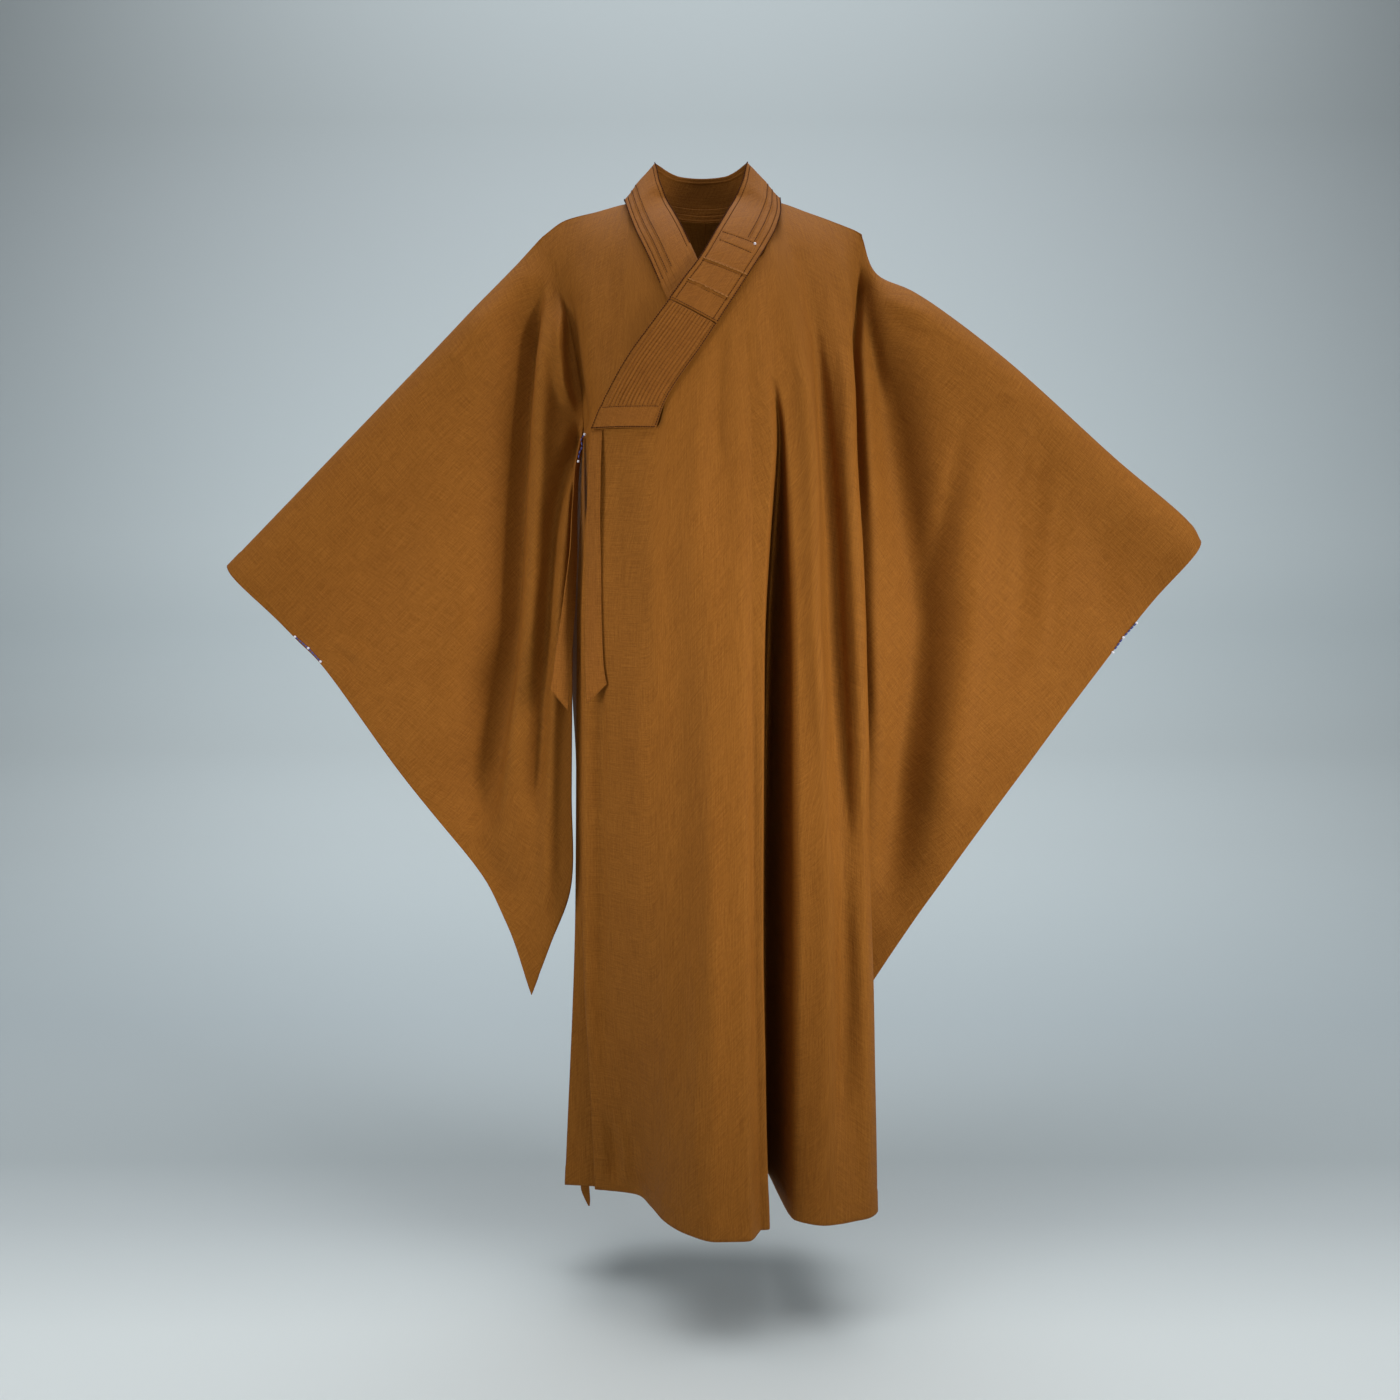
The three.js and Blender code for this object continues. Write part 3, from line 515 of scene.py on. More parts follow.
# The overlap: a gore sewn to the left front's centre edge, which crosses to the wearer's right. Its
# free edge has a narrow stitched hem, and its foot a deep one.
SIDE_HEM_DEEP = 9
OVERLAP_RAILS = [
    (-137, -305, -150, 56, -154, 48, -155, 30, -142, 12),
    (-103, -309, -111, 76, -113, 70, -114, 52, -86, 26),
    (-60, -311, -70, 98, -73, 94, -71, 84, -67, 56),
    (-44, -270, -45, 105, -47, 104, -45, 104, -50, 90),
    (-11, -220, -12, 112, -13, 114, -12, 118, -21, 121),
    (12, -187, 16, 109, 17, 115, 14, 127, 13, 138),
    (28, -152, 40, 112, 43, 120, 44, 129, 50, 136),
    CENTRE_SEAM,
]
OVERLAP_FOLDS = [
    ([(28, -178), (17, -232), (14, -306), (20, -380)], 9, -3.2, 0.3, 7),
    ([(2, -250), (-8, -330), (-6, -470)], 12, 2.2, 0.3, 8),
    ([(-1, -1218), (20, -1221), (43, -1218)], 2.4, 3.4, 0.3),
    ([(-128, -1170), (-121, -1215), (-116, -1268)], 5, -7.0, 0.3, 10),
    ([(-108, -1180), (-102, -1225), (-104, -1268)], 6, 3.0, 0.3, 7),
    ([(-131, -590), (-133, -640), (-133, -740), (-132, -840), (-136, -1000), (-124, -1180)],
     9, -6.0, 0.2, 9),
    ([(-146, -420), (-148, -640), (-150, -900), (-142, -1150)], 8, 4.5, 0.2, 8),
    ([(-92, -520), (-86, -660), (-90, -800), (-84, -1060)], 16, 3.0, 0.25, 20),
    ([(-12, -470), (-28, -638), (-30, -830), (-34, -1000), (-40, -1180)], 34, -6.5, 0.25, 30),
    ([(4, -400), (8, -560), (8, -800), (2, -1140)], 26, 7.0, 0.2, 46),
    ([(-60, -380), (-64, -520), (-58, -700)], 14, 1.8, 0.3, 12),
    ([(-104, -330), (-110, -430), (-106, -560)], 13, -2.4, 0.3, 16),
    ([(-20, -900), (-10, -1060), (-14, -1240)], 12, 2.4, 0.25, 9),
    ([(20, -700), (26, -900), (20, -1140)], 10, -2.0, 0.3, 14),
]

overlap = hang_panel(
    "overlap",
    rails(RAIL_COLUMNS, OVERLAP_RAILS, -1),
    OVERLAP_FOLDS,
    swell=(46, 3.4, 11.0, 1.0),
    seams=(None, 5.0),
    side_hem=SIDE_HEM_DEEP,
)
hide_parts("overlap_outer")


# The wearer's right front, which shows at the chest and then runs on under the overlap to its own
# free edge.
UNDER_DEPTH = 8
FRONT_RIGHT_RAILS = [
    (-182, None, -148, 36, -150, 6, -154, 2, -152, 3),
    (-142, None, -128, 68, -132, 44, -134, 26, -124, 8),
    (-101, None, -106, 81, -106, 62, -106, 45, -88, 15),
    (-88, -42, -84, 88, -80, 80, -79, 68, -70, 40),
    (-69, -91, -60, 91, -56, 90, -54, 86, -54, 70),
    (-43, -156, -36, 94, -32, 98, -30, 100, -32, 100),
    (-15, -222, -4, 95, 0, 101, 2, 110, 0, 118),
    (0, -254, 34, 95, 38, 106, 42, 116, 44, 121),
]
FRONT_RIGHT_FOLDS = [
    ([(-178, -110), (-171, -170), (-166, -220), (-158, -270), (-150, -300)], 6, -6.0, 0.2, 8),
    ([(-160, -60), (-150, -140), (-142, -220), (-138, -290)], 10, 3.0, 0.3, 12),
    ([(-120, -60), (-116, -160), (-112, -280)], 13, -2.2, 0.3, 9),
    ([(-132, -210), (-124, -250), (-118, -300)], 6, 2.0, 0.3, 8),
]

front_right = hang_panel(
    "right_front",
    [right_front_seam] + rails(RAIL_COLUMNS, FRONT_RIGHT_RAILS, -1, UNDER_DEPTH),
    FRONT_RIGHT_FOLDS,
    swell=(42, 3.0, 17.0, 0.7),
    seams=(7.0, None),
    fine=8,
)
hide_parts("front_right")


# The back: two lengths joined by a centre seam, which hang from the neckband and the shoulders in
# long shallow folds.
BACK_HELD = 26
BACK_LEFT_RAILS = [
    (172, None, 176, 60, 188, 52, 191, 58, 199, 62),
    (134, None, 146, 92, 152, 96, 156, 106, 162, 112),
    (92, None, 98, 98, 104, 100, 106, 108, 110, 116),
    (60, 8, 56, 108, 60, 114, 62, 124, 66, 134),
    (30, 9, 28, 102, 30, 106, 31, 114, 34, 122),
    (0, 9, 0, 110, 0, 116, 0, 128, 0, 140),
]
BACK_RIGHT_RAILS = [
    (0, 9, 0, 110, 0, 116, 0, 128, 0, 140),
    (-30, 9, -30, 104, -32, 108, -34, 116, -36, 126),
    (-62, 8, -60, 106, -62, 112, -64, 122, -70, 132),
    (-98, None, -100, 96, -102, 96, -104, 106, -112, 112),
    (-140, None, -136, 90, -138, 92, -142, 98, -154, 106),
    (-180, None, -172, 54, -180, 46, -164, 54, -184, 56),
]
BACK_FOLDS = [
    ([(150, -90), (146, -260), (150, -480)], 14, 3.0, 0.3, 8),
    ([(120, -150), (122, -420), (126, -760)], 10, -4.2, 0.3, 16),
    ([(136, -620), (140, -900), (146, -1240)], 13, 4.2, 0.25, 8),
    ([(82, -260), (80, -620), (86, -1000)], 11, -4.4, 0.3, 18),
    ([(98, -760), (100, -1000), (104, -1260)], 9, -4.6, 0.25, 14),
    ([(46, -200), (44, -520), (48, -900)], 14, 3.6, 0.3, 9),
    ([(56, -880), (60, -1060), (64, -1260)], 9, 4.4, 0.25, 14),
    ([(18, -330), (16, -700), (18, -1180)], 8, -3.2, 0.3, 13),
    ([(172, -420), (180, -700), (188, -1180)], 10, -3.2, 0.3, 14),
    ([(-24, -260), (-22, -640), (-26, -1120)], 9, 3.2, 0.3, 13),
    ([(-48, -380), (-46, -760), (-54, -1260)], 9, -4.4, 0.25, 16),
    ([(-82, -200), (-80, -560), (-88, -980)], 13, 3.8, 0.3, 8),
    ([(-96, -760), (-102, -1010), (-108, -1260)], 10, -4.4, 0.25, 15),
    ([(-118, -130), (-116, -420), (-120, -800)], 9, -4.0, 0.3, 15),
    ([(-136, -560), (-134, -880), (-146, -1240)], 13, 3.8, 0.25, 8),
    ([(-158, -160), (-154, -360), (-158, -620)], 9, 2.6, 0.3, 12),
]

back_left = hang_panel(
    "left_back",
    [left_back_seam] + rails(RAIL_COLUMNS, BACK_LEFT_RAILS, 1),
    BACK_FOLDS,
    swell=(46, 3.4, 21.0, 1.0),
    seams=(23.0, 25.0),
    top_held=BACK_HELD,
)
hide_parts("back_left")
back_right = hang_panel(
    "right_back",
    rails(RAIL_COLUMNS, BACK_RIGHT_RAILS, 1) + [right_back_seam],
    BACK_FOLDS,
    swell=(46, 3.4, 31.0, 1.0),
    seams=(33.0, 35.0),
    top_held=BACK_HELD,
)
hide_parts("back_right")


# The sleeves: each one length of crepe folded over the arm, sewn below from the underarm to the
# low corner, with the mouth left open for the hand. They hang in a thin bag with slanting folds.
ARM_RADIUS, WRIST_RADIUS = 40, 27
ARM_FALL, WRIST_FALL = 120, 52
SLEEVE_FLAT, SLEEVE_BAG = 2.6, 6
ARMHOLE_BLEND, CUFF_HEM, CUFF_SEAM_SINK = 0.24, 24, 0.5
SLEEVE_SWELL = (55, 2.2, 41.0, 1.2)
FOLDS_FROM, FOLDS_TO, CREASES_TO, SEAM_HALF, SEAM_HALF_FOOT = 0.06, 0.92, 0.9, 1.8, 1.0
SLEEVE_DOWN = merge(np.linspace(0, 1, 74) ** 1.3, [0.985, 0.993, 0.998])
SLEEVE_ALONG = merge(np.linspace(0, 1, 170) ** 1.25, [0.002, 0.004, 0.006, 0.988, 0.994, 0.998])
RIGHT_SLEEVE = {
    "piece": "right_sleeve",
    "node": "sleeve_right",
    "front": right_front_seam,
    "back": right_back_seam,
    "core": (-330, 0, -480),
    "top": [(-212, -39.0), (-300, -135), (-511, -355), (-617.5, -465.5)],
    "foot": [
        (-158, -290), (-169, -345), (-172, -600), (-173, -760), (-174, -886), (-200, -958),
        (-225, -1024),
    ],
    "cuff": [
        (-617.5, -465.5), (-532, -560), (-499, -593), (-407, -719), (-266, -913), (-225, -1024),
    ],
    "folds": [
        ([(-209, -92), (-222, -189), (-231, -286), (-238, -383), (-241, -460), (-246, -546),
          (-256, -638), (-268, -718), (-280, -820)], 36, -38, 0.12, 5.5),
        ([(-262, -540), (-290, -650), (-306, -740), (-290, -850), (-262, -930)], 40, -17, 0.2, 26),
        ([(-196, -100), (-203, -189), (-208, -286), (-213, -383), (-217, -460), (-221, -560),
          (-229, -660)], 13, 10, 0.2, 11),
        ([(-150, -272), (-165, -305), (-181, -338), (-192, -383), (-199, -425), (-205, -512),
          (-211, -615), (-217, -718), (-226, -821)], 11, -15, 0.12, 11),
        ([(-168, -350), (-178, -435), (-188, -538), (-195, -640), (-198, -743), (-204, -845),
          (-211, -935)], 10, 9, 0.2, 9),
    ],
    "front_folds": [
        ([(-182, -105), (-185, -189), (-180, -234), (-169, -272)], 11, 22, 0.3, 5),
        ([(-167, -327), (-180, -396), (-190, -473), (-201, -589)], 6, 4.5, 0.3, 9),
        ([(-234, -621), (-241, -655), (-248, -695)], 5, -2.8, 0.3, 8),
        ([(-484, -562), (-450, -564), (-417, -573)], 4, -2.6, 0.3, 6),
        ([(-484, -572), (-456, -577), (-430, -588)], 5, 2.0, 0.3, 5),
        ([(-477, -581), (-463, -590), (-450, -602)], 4, -2.2, 0.3, 6),
        ([(-330, -250), (-360, -420), (-372, -560)], 20, 2.6, 0.35, 34),
        ([(-420, -360), (-440, -470), (-430, -600)], 26, -2.2, 0.35, 18),
        ([(-300, -420), (-330, -620), (-350, -740)], 18, 3.0, 0.3, 30),
        ([(-250, -700), (-262, -810), (-252, -920)], 12, -3.0, 0.3, 18),
        ([(-190, -640), (-196, -760), (-206, -880)], 7, -3.0, 0.3, 10),
        ([(-330, -190), (-300, -220), (-262, -232)], 12, 1.6, 0.3, 9),
    ],
    "back_folds": [
        ([(-190, -190), (-230, -420), (-240, -660), (-226, -880)], 16, 5.0, 0.3, 26),
        ([(-260, -200), (-300, -430), (-330, -700)], 24, -4.6, 0.3, 15),
        ([(-350, -280), (-390, -450), (-410, -640)], 18, 4.0, 0.3, 30),
        ([(-450, -420), (-470, -520), (-460, -610)], 16, -2.6, 0.3, 12),
        ([(-178, -360), (-186, -560), (-194, -800)], 7, -3.2, 0.3, 11),
    ],
}
LEFT_SLEEVE = {
    "piece": "left_sleeve",
    "node": "sleeve_left",
    "front": left_front_seam,
    "back": left_back_seam,
    "core": (330, 0, -480),
    "top": [(203, -34.7), (222, -86), (270, -112), (382, -194), (530, -327), (628, -412), (640, -433)],
    "foot": [
        (165, -290), (171, -350), (173, -600), (174, -760), (175, -892), (188, -965),
        (201, -1031),
    ],
    "cuff": [(640, -433), (560, -538), (519, -590), (355, -810), (261, -941), (201, -1031)],
    "folds": [
        ([(216, -128), (232, -230), (250, -333), (268, -435), (284, -538), (276, -640),
          (259, -743), (242, -850), (226, -948)], 27, -26, 0.16, 34),
        ([(206, -165), (211, -256), (213, -333), (217, -435), (217, -538), (219, -640),
          (218, -743)], 14, 11, 0.2, 14),
        ([(364, -265), (350, -358), (350, -435), (344, -538), (327, -640), (314, -743),
          (301, -820)], 46, 14, 0.2, 26),
        ([(338, -268), (320, -350), (306, -435), (294, -512)], 14, -7, 0.3, 16),
        ([(424, -256), (416, -333), (414, -435), (408, -538), (396, -640)], 12, -6, 0.3, 34),
        ([(452, -330), (440, -420), (438, -540), (420, -640)], 30, 5, 0.3, 10),
    ],
    "front_folds": [
        ([(202, -76), (209, -128), (219, -190), (230, -260)], 10, -10, 0.25, 10),
        ([(193, -62), (198, -110), (197, -140), (192, -185), (194, -270), (199, -350),
          (203, -435)], 7, -15, 0.2, 6),
        ([(418, -304), (411, -350), (418, -463)], 7, 3.2, 0.3, 12),
        ([(414, -329), (409, -346), (405, -363)], 4, -2.6, 0.3, 5),
        ([(366, -238), (380, -243), (398, -240)], 4, -1.8, 0.3, 5),
        ([(372, -252), (386, -256), (402, -254)], 4, 1.4, 0.3, 5),
        ([(460, -340), (470, -450), (450, -580)], 26, 2.6, 0.35, 18),
        ([(500, -400), (520, -470), (510, -560)], 18, -2.4, 0.35, 26),
        ([(390, -480), (380, -620), (340, -760)], 22, 3.0, 0.3, 30),
        ([(205, -430), (222, -620), (226, -800), (214, -960)], 12, 4.2, 0.3, 20),
        ([(188, -330), (194, -520), (200, -760)], 8, -3.6, 0.3, 12),
        ([(236, -150), (262, -175), (300, -188)], 10, -2.0, 0.3, 7),
        ([(226, -120), (250, -142), (290, -158)], 8, 1.8, 0.3, 10),
    ],
    "back_folds": [
        ([(200, -200), (240, -420), (250, -660), (226, -900)], 16, 5.0, 0.3, 26),
        ([(280, -200), (320, -440), (330, -700)], 24, -4.6, 0.3, 15),
        ([(380, -280), (410, -450), (400, -640)], 18, 4.0, 0.3, 30),
        ([(480, -400), (500, -500), (480, -590)], 16, -2.6, 0.3, 12),
        ([(184, -360), (192, -560), (198, -800)], 7, -3.2, 0.3, 11),
    ],
}
SLEEVES = [RIGHT_SLEEVE, LEFT_SLEEVE]


def edge_line(points, shares):
    """A smooth line through points in x and z, measured evenly along its length."""
    points = np.asarray(points, float)
    points = np.concatenate([[2 * points[0] - points[1]], points, [2 * points[-1] - points[-2]]])
    u = np.linspace(0, 1, 60)[:-1, None]
    sampled = []
    for a, b, c, d in zip(points[:-3], points[1:-2], points[2:-1], points[3:]):
        first, middle, last = [np.linalg.norm(p - q) ** 0.5 for p, q in ((a, b), (b, c), (c, d))]
        leave = ((b - a) / first - (c - a) / (first + middle) + (c - b) / middle) * middle
        arrive = ((c - b) / middle - (d - b) / (middle + last) + (d - c) / last) * middle
        bend = (-3 * b + 3 * c - 2 * leave - arrive) * u**2
        sampled.append(b + leave * u + bend + (2 * b - 2 * c + leave + arrive) * u**3)
    line = np.concatenate(sampled + [points[-2:-1]])
    run = np.concatenate([[0], np.linalg.norm(np.diff(line, axis=0), axis=1).cumsum()])
    at = np.asarray(shares, float) * run[-1]
    return np.stack([np.interp(at, run, line[:, 0]), np.interp(at, run, line[:, 1])], axis=1)


def sleeve_half(below, along, down):
    """Half the sleeve's depth below the fold over the arm: a round arm, then a thin bag."""
    radius = mix(ARM_RADIUS, WRIST_RADIUS, along)
    past = np.maximum(0, below - radius) / mix(ARM_FALL, WRIST_FALL, along)
    arm = np.sqrt(1 - np.maximum(0, 1 - below / radius) ** 2)
    bag = SLEEVE_FLAT + SLEEVE_BAG * np.sin(np.pi * down) * mix(1, 0.4, along)
    return radius * arm * np.exp(-(past**2)) + bag * smooth(0, radius, below)


def sleeve_side(sleeve, faces):
    """Front or back half of a sleeve: points[along][down] from the fold over the arm."""
    along, down = np.meshgrid(SLEEVE_ALONG, SLEEVE_DOWN, indexing="ij")
    top = edge_line(sleeve["top"], SLEEVE_ALONG)[:, None]
    foot = edge_line(sleeve["foot"], SLEEVE_ALONG)[:, None]
    cuff = edge_line(sleeve["cuff"], SLEEVE_DOWN)[None]
    seams = {-1: sleeve["front"], 1: sleeve["back"]}
    front, back = [seams[side](SLEEVE_DOWN * UNDERARM_SHARE)[None] for side in (-1, 1)]
    hole = front[..., [0, 2]]
    a, d = along[..., None], down[..., None]
    upper = mix(top[:1], top[-1:], a)
    lower = mix(foot[:1], foot[-1:], a)
    flat = mix(top, foot, d) + mix(hole, cuff, a) - mix(upper, lower, d)
    x, z = flat[..., 0], flat[..., 1]
    blend = smooth(0, ARMHOLE_BLEND, along)
    forward = sum(fold(x, z, *row) for row in sleeve["folds"])
    forward = forward * smooth(0, FOLDS_FROM, down) * smooth(1, FOLDS_TO, down)
    centre = mix((front[..., 1] + back[..., 1]) / 2, 0, blend) - forward * smooth(0, 0.05, along)
    below = down * np.linalg.norm(top - foot, axis=2)
    half = mix((back[..., 1] - front[..., 1]) / 2, sleeve_half(below, along, down), blend)
    least = mix(SEAM_HALF, SEAM_HALF_FOOT, smooth(0.9, 1, down))
    least = np.where(down == 0, 0, np.where(along == 0, 0.05, least))
    half = np.where(down == 1, least, np.maximum(half, least))
    points = np.stack([x, centre + faces * half, z], axis=2)
    held = smooth(0, FOLDS_FROM, down) * smooth(1, CREASES_TO, down) * smooth(0, 0.012, along)
    own_folds = sleeve["front_folds" if faces < 0 else "back_folds"]
    lift = sum(fold(x, z, *row) for row in own_folds) * held
    size, stretch, seed, height = SLEEVE_SWELL
    lift += rumple(points, size, stretch, seed + faces) * height * held
    points[..., 1] += faces * lift
    return points


for sleeve in SLEEVES:
    front, back = sleeve_side(sleeve, -1), sleeve_side(sleeve, 1)
    points = np.concatenate([front[:, ::-1], back[:, 1:]], axis=1)
    left, right, armhole, cuff = lengths(points)
    lift = seam_dip(armhole, points, 51.0) + hem_step(cuff, CUFF_HEM)
    lift -= CUFF_SEAM_SINK * (near(left, 2) + near(right, 2))
    lift = np.minimum(lift, HEM_RISE)
    points += outward_normals(points, sleeve["core"])[0] * lift[..., None]
    sleeve["laid"] = points
    piece = cut_cloth(sleeve["piece"], points, sleeve["core"], cloth_finish)
    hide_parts(sleeve["node"])


# The crossed neckband: stacked strips of the same crepe, stitched along their edges. It starts
# under the overlap, goes up the wearer's right side, round the neck and down across the chest.
BAND_MID = (0.222, 0.077, 0.0115)
BAND_DARK = (0.176, 0.057, 0.0080)
BAND_LIGHT = (0.266, 0.097, 0.0165)
BAND_THICK = 1.4 * MM
BAND_COLUMNS = "in_x in_y in_z out_x out_y out_z lies lift".split()
BAND_ROWS = [
    (40, 0, -205, -6, 0, -246, 1, -4.6),
    (14, 0, -152, -29, 0, -193, 1, -4.6),
    (-8, 0, -104, -45, 0, -157, 1, -4.4),
    (-34, -49, -38, -71, -76, -92, 1, -2.4),
    (-48, -24, -2, -86, -58, -56, 0.6, 0),
    (-60, -3, 35, -98, -36, -20, 0, 0),
    (-64, 12, 62, -105, 0, 8, 0, 0),
    (-56, 32, 66, -80, 34, 5, 0, 0),
    (-34, 50, 63, -48, 62, 6, 0, 0),
    (-4, 58, 64, 0, 75, 6, 0, 0),
    (26, 50, 63, 48, 62, 6, 0, 0),
    (47, 32, 66, 76, 37, 6, 0, 0),
    (54, 10, 62, 97, 0, 10, 0, 0),
    (50, -5, 35, 96, -37, -20, 0, 0),
    (36, -28, -4, 89, -61, -50, 0.6, 3),
    (18, -65, -50, 73, -79, -86, 1, 3),
    (-8, 0, -104, 46, 0, -134, 1, 3),
    (-26, 0, -130, 30, 0, -161, 1, 3),
    (-43, 0, -155.4, 13.5, 0, -187.6, 1, 3),
]
NECK_CORE = (-4, 60, -120)
STRIP_STEPS = (0.645, 0.785)
EDGE_STITCHES = (0.1, 0.9)
STRIPS_END, CROSSING = 15.15, 14
STRIP_RISE, BAND_RISE, STITCH_INSET = 0.9, 1.8, 0.03
PRESSED_FROM, PRESSED_TO = 0.08, 0.16
RIB_WIDTH, CROSS_WIDTH, CROSS_SINK, CROSS_FADE = 0.9, 0.8, -0.6, 0.02
BAND_STATIONS = len(BAND_ROWS) - 1
CROSS_RIBS = [
    ([(-3, -103), (51, -125)], 1.3),
    ([(-21, -131), (29, -156)], 1.3),
]
CROSS_SEAMS = [
    [(20.5, -64), (62, -80)],
    [(17, -76.5), (58, -95)],
    [(-4.7, -106.2), (49.1, -128.2)],
    [(-23.1, -134.4), (26.9, -159.4)],
]

band_finish = weave_cloth("brown_crepe_band", BAND_MID, BAND_DARK, BAND_LIGHT)


def lay_band(stations, along, shares):
    """Points of the neckband: rows along it, columns from its neck edge to its outer edge. It
    takes its depth from the chest by the share in lies, and stands off it by lift."""
    table = through(np.array(stations, float), along)
    row = {name: table[:, [i]] for i, name in enumerate(BAND_COLUMNS)}
    share = np.asarray(shares)[None]
    x = mix(row["in_x"], row["out_x"], share)
    z = mix(row["in_z"], row["out_z"], share)
    y = mix(row["in_y"], row["out_y"], share)
    y = mix(y, chest_y(x, z) - row["lift"], row["lies"])
    return np.stack([x, y, z], axis=2)


def groove(distance, width=0.9, deep=0.55):
    return -deep * near(distance, width)


def close_columns(lines, reach=0.02, count=7):
    """Even columns, closer together where a line of stitching or a strip's edge runs."""
    beside = [line + np.linspace(-reach, reach, count) for line in lines]
    return merge(np.linspace(0, 1, 29), *beside, digits=4)


band_shares = close_columns((*EDGE_STITCHES, *STRIP_STEPS))
evenly = np.linspace(0, 1, BAND_STATIONS * 12 + 1)
past_crossing = np.linspace(14.4 / BAND_STATIONS, 1, 260)
band_along = merge(evenly, past_crossing, digits=5)
points = lay_band(BAND_ROWS, band_along, band_shares)
width = lengths(points)[0][:, -1:]
along, share = np.meshgrid(band_along, band_shares, indexing="ij")
pressed = smooth(PRESSED_FROM, PRESSED_TO, along)
stacked = smooth(STRIPS_END, STRIPS_END - 0.25, along * BAND_STATIONS) * pressed
steps = sum(smooth(step + 0.008, step - 0.004, share) for step in STRIP_STEPS)
lift = STRIP_RISE * steps * stacked + BAND_RISE * (pressed - stacked)
for line in EDGE_STITCHES:
    lift += groove((share - line) * width) * pressed
for line in STRIP_STEPS:
    lift += groove((share - line + STITCH_INSET) * width) * stacked
x, z = points[..., 0], points[..., 2]
crossed = smooth(CROSSING, CROSSING + 0.3, along * BAND_STATIONS)
for rib, high in CROSS_RIBS:
    lift += fold(x, z, rib, RIB_WIDTH, high, CROSS_FADE) * crossed
for seam in CROSS_SEAMS:
    lift += fold(x, z, seam, CROSS_WIDTH, CROSS_SINK, CROSS_FADE) * crossed
lift += rumple(points, 16, 1, 61.0) * 0.35 * pressed
points += outward_normals(points, NECK_CORE)[0] * lift[..., None]
neckband = cut_cloth("neckband", points, NECK_CORE, band_finish, BAND_THICK)
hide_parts("collar")


# The stitching of the neckband, in dark thread pulled a little into the cloth: along its edges and
# its strips, across its front where the strips end, and at the head of the quilting. The thicker
# lines along its edges are partly real edge stitching and partly painted shade along the band's
# edges. A paler cord over each cross rib is a painted highlight on the rib.
STITCH, STITCH_PITCH, STITCH_HALF, EDGE_THREAD_AND_SHADE_HALF = 2.9, 3.2, 0.42, 0.68
CORD_STITCH, CORD_PITCH, CORD_HALF, SEAM_THREAD_HALF = 5.0, 4.9, 0.5, 0.24
BAND_LINES = [
    # The two edge lines: thicker dark thread, partly real edge stitching and partly painted shade
    # along the band's edges.
    ([(2.4, 0.008), (18, 0.008)], EDGE_THREAD_AND_SHADE_HALF),
    ([(2.4, 0.992), (18, 0.992)], EDGE_THREAD_AND_SHADE_HALF),
    ([(2.4, 0.1), (17.9, 0.1)], STITCH_HALF),
    ([(2.4, 0.615), (15.0, 0.615)], STITCH_HALF),
    ([(2.4, 0.755), (15.0, 0.755)], STITCH_HALF),
    ([(2.4, 0.9), (17.9, 0.9)], STITCH_HALF),
    ([(17.93, 0.03), (17.93, 0.97)], STITCH_HALF),
]
STITCH_FORM = [(0, 0.35, -0.5), (0.25, 1, 0.9), (0.75, 1, 0.9), (1, 0.35, -0.5)]


def colour_thread(name, colour, rough, specular=0.5):
    material, shader, start = new_finish(name)
    shader.inputs["Base Color"].default_value = colour
    shader.inputs["Roughness"].default_value = rough
    shader.inputs["Specular IOR Level"].default_value = specular
    return material


# The dark thread also draws the thick edge lines, which are partly painted shade.
thread_finish = colour_thread("brown_thread", (0.045, 0.011, 0.003, 1), 0.7, 0.08)


def add_piece(name, mesh, finish):
    mesh.materials.append(finish)
    piece = bpy.data.objects.new(name, mesh)
    bpy.context.collection.objects.link(piece)
    return piece


def on_cloth(points, rows_at, columns_at, row, column):
    """A place on a laid piece of cloth, at these values of its rows' and columns' scales."""
    r = np.interp(row, rows_at, np.arange(len(rows_at)))
    c = np.interp(column, columns_at, np.arange(len(columns_at)))
    r0 = np.minimum(r.astype(int), len(rows_at) - 2)
    c0 = np.minimum(c.astype(int), len(columns_at) - 2)
    fr, fc = (r - r0)[:, None], (c - c0)[:, None]
    upper = mix(points[r0, c0], points[r0, c0 + 1], fc)
    lower = mix(points[r0 + 1, c0], points[r0 + 1, c0 + 1], fc)
    return mix(upper, lower, fr)


def sew(name, lines, finish, stitch=STITCH, pitch=STITCH_PITCH):
    """Rows of stitches. Each line gives its points, their outward normals and its half width. A
    stitch has a width and a height at each of four shares of its length."""
    shares, widths, heights = np.array(STITCH_FORM).T
    corners, faces = [], []
    for points, normals, half in lines:
        run = np.concatenate([[0], np.linalg.norm(np.diff(points, axis=0), axis=1).cumsum()])
        for start in np.arange(0.1, run[-1] - stitch * 0.98, pitch):
            at = start + stitch * shares
            middle = np.stack([np.interp(at, run, points[:, i]) for i in range(3)], axis=1)
            up = np.stack([np.interp(at, run, normals[:, i]) for i in range(3)], axis=1)
            up /= np.linalg.norm(up, axis=1, keepdims=True)
            ahead = middle[-1] - middle[0]
            side = np.cross(up, ahead / np.linalg.norm(ahead))
            raised = middle + up * heights[:, None] * half
            base = len(corners)
            for offset in (side, up, -side, -up):
                corners.extend((raised + offset * widths[:, None] * half).tolist())
            ring = [base + 4 * i for i in range(4)]
            for i in range(4):
                a, b = ring[i], ring[(i + 1) % 4]
                faces.extend((a + k, b + k, b + k + 1, a + k + 1) for k in range(3))
            faces.append(tuple(reversed(ring)))
            faces.append(tuple(corner + 3 for corner in ring))
    mesh = bpy.data.meshes.new(name)
    mesh.from_pydata((np.array(corners) * MM).tolist(), [], faces)
    mesh.polygons.foreach_set("use_smooth", [True] * len(faces))
    piece = add_piece(name, mesh, finish)
    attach(piece, "root")


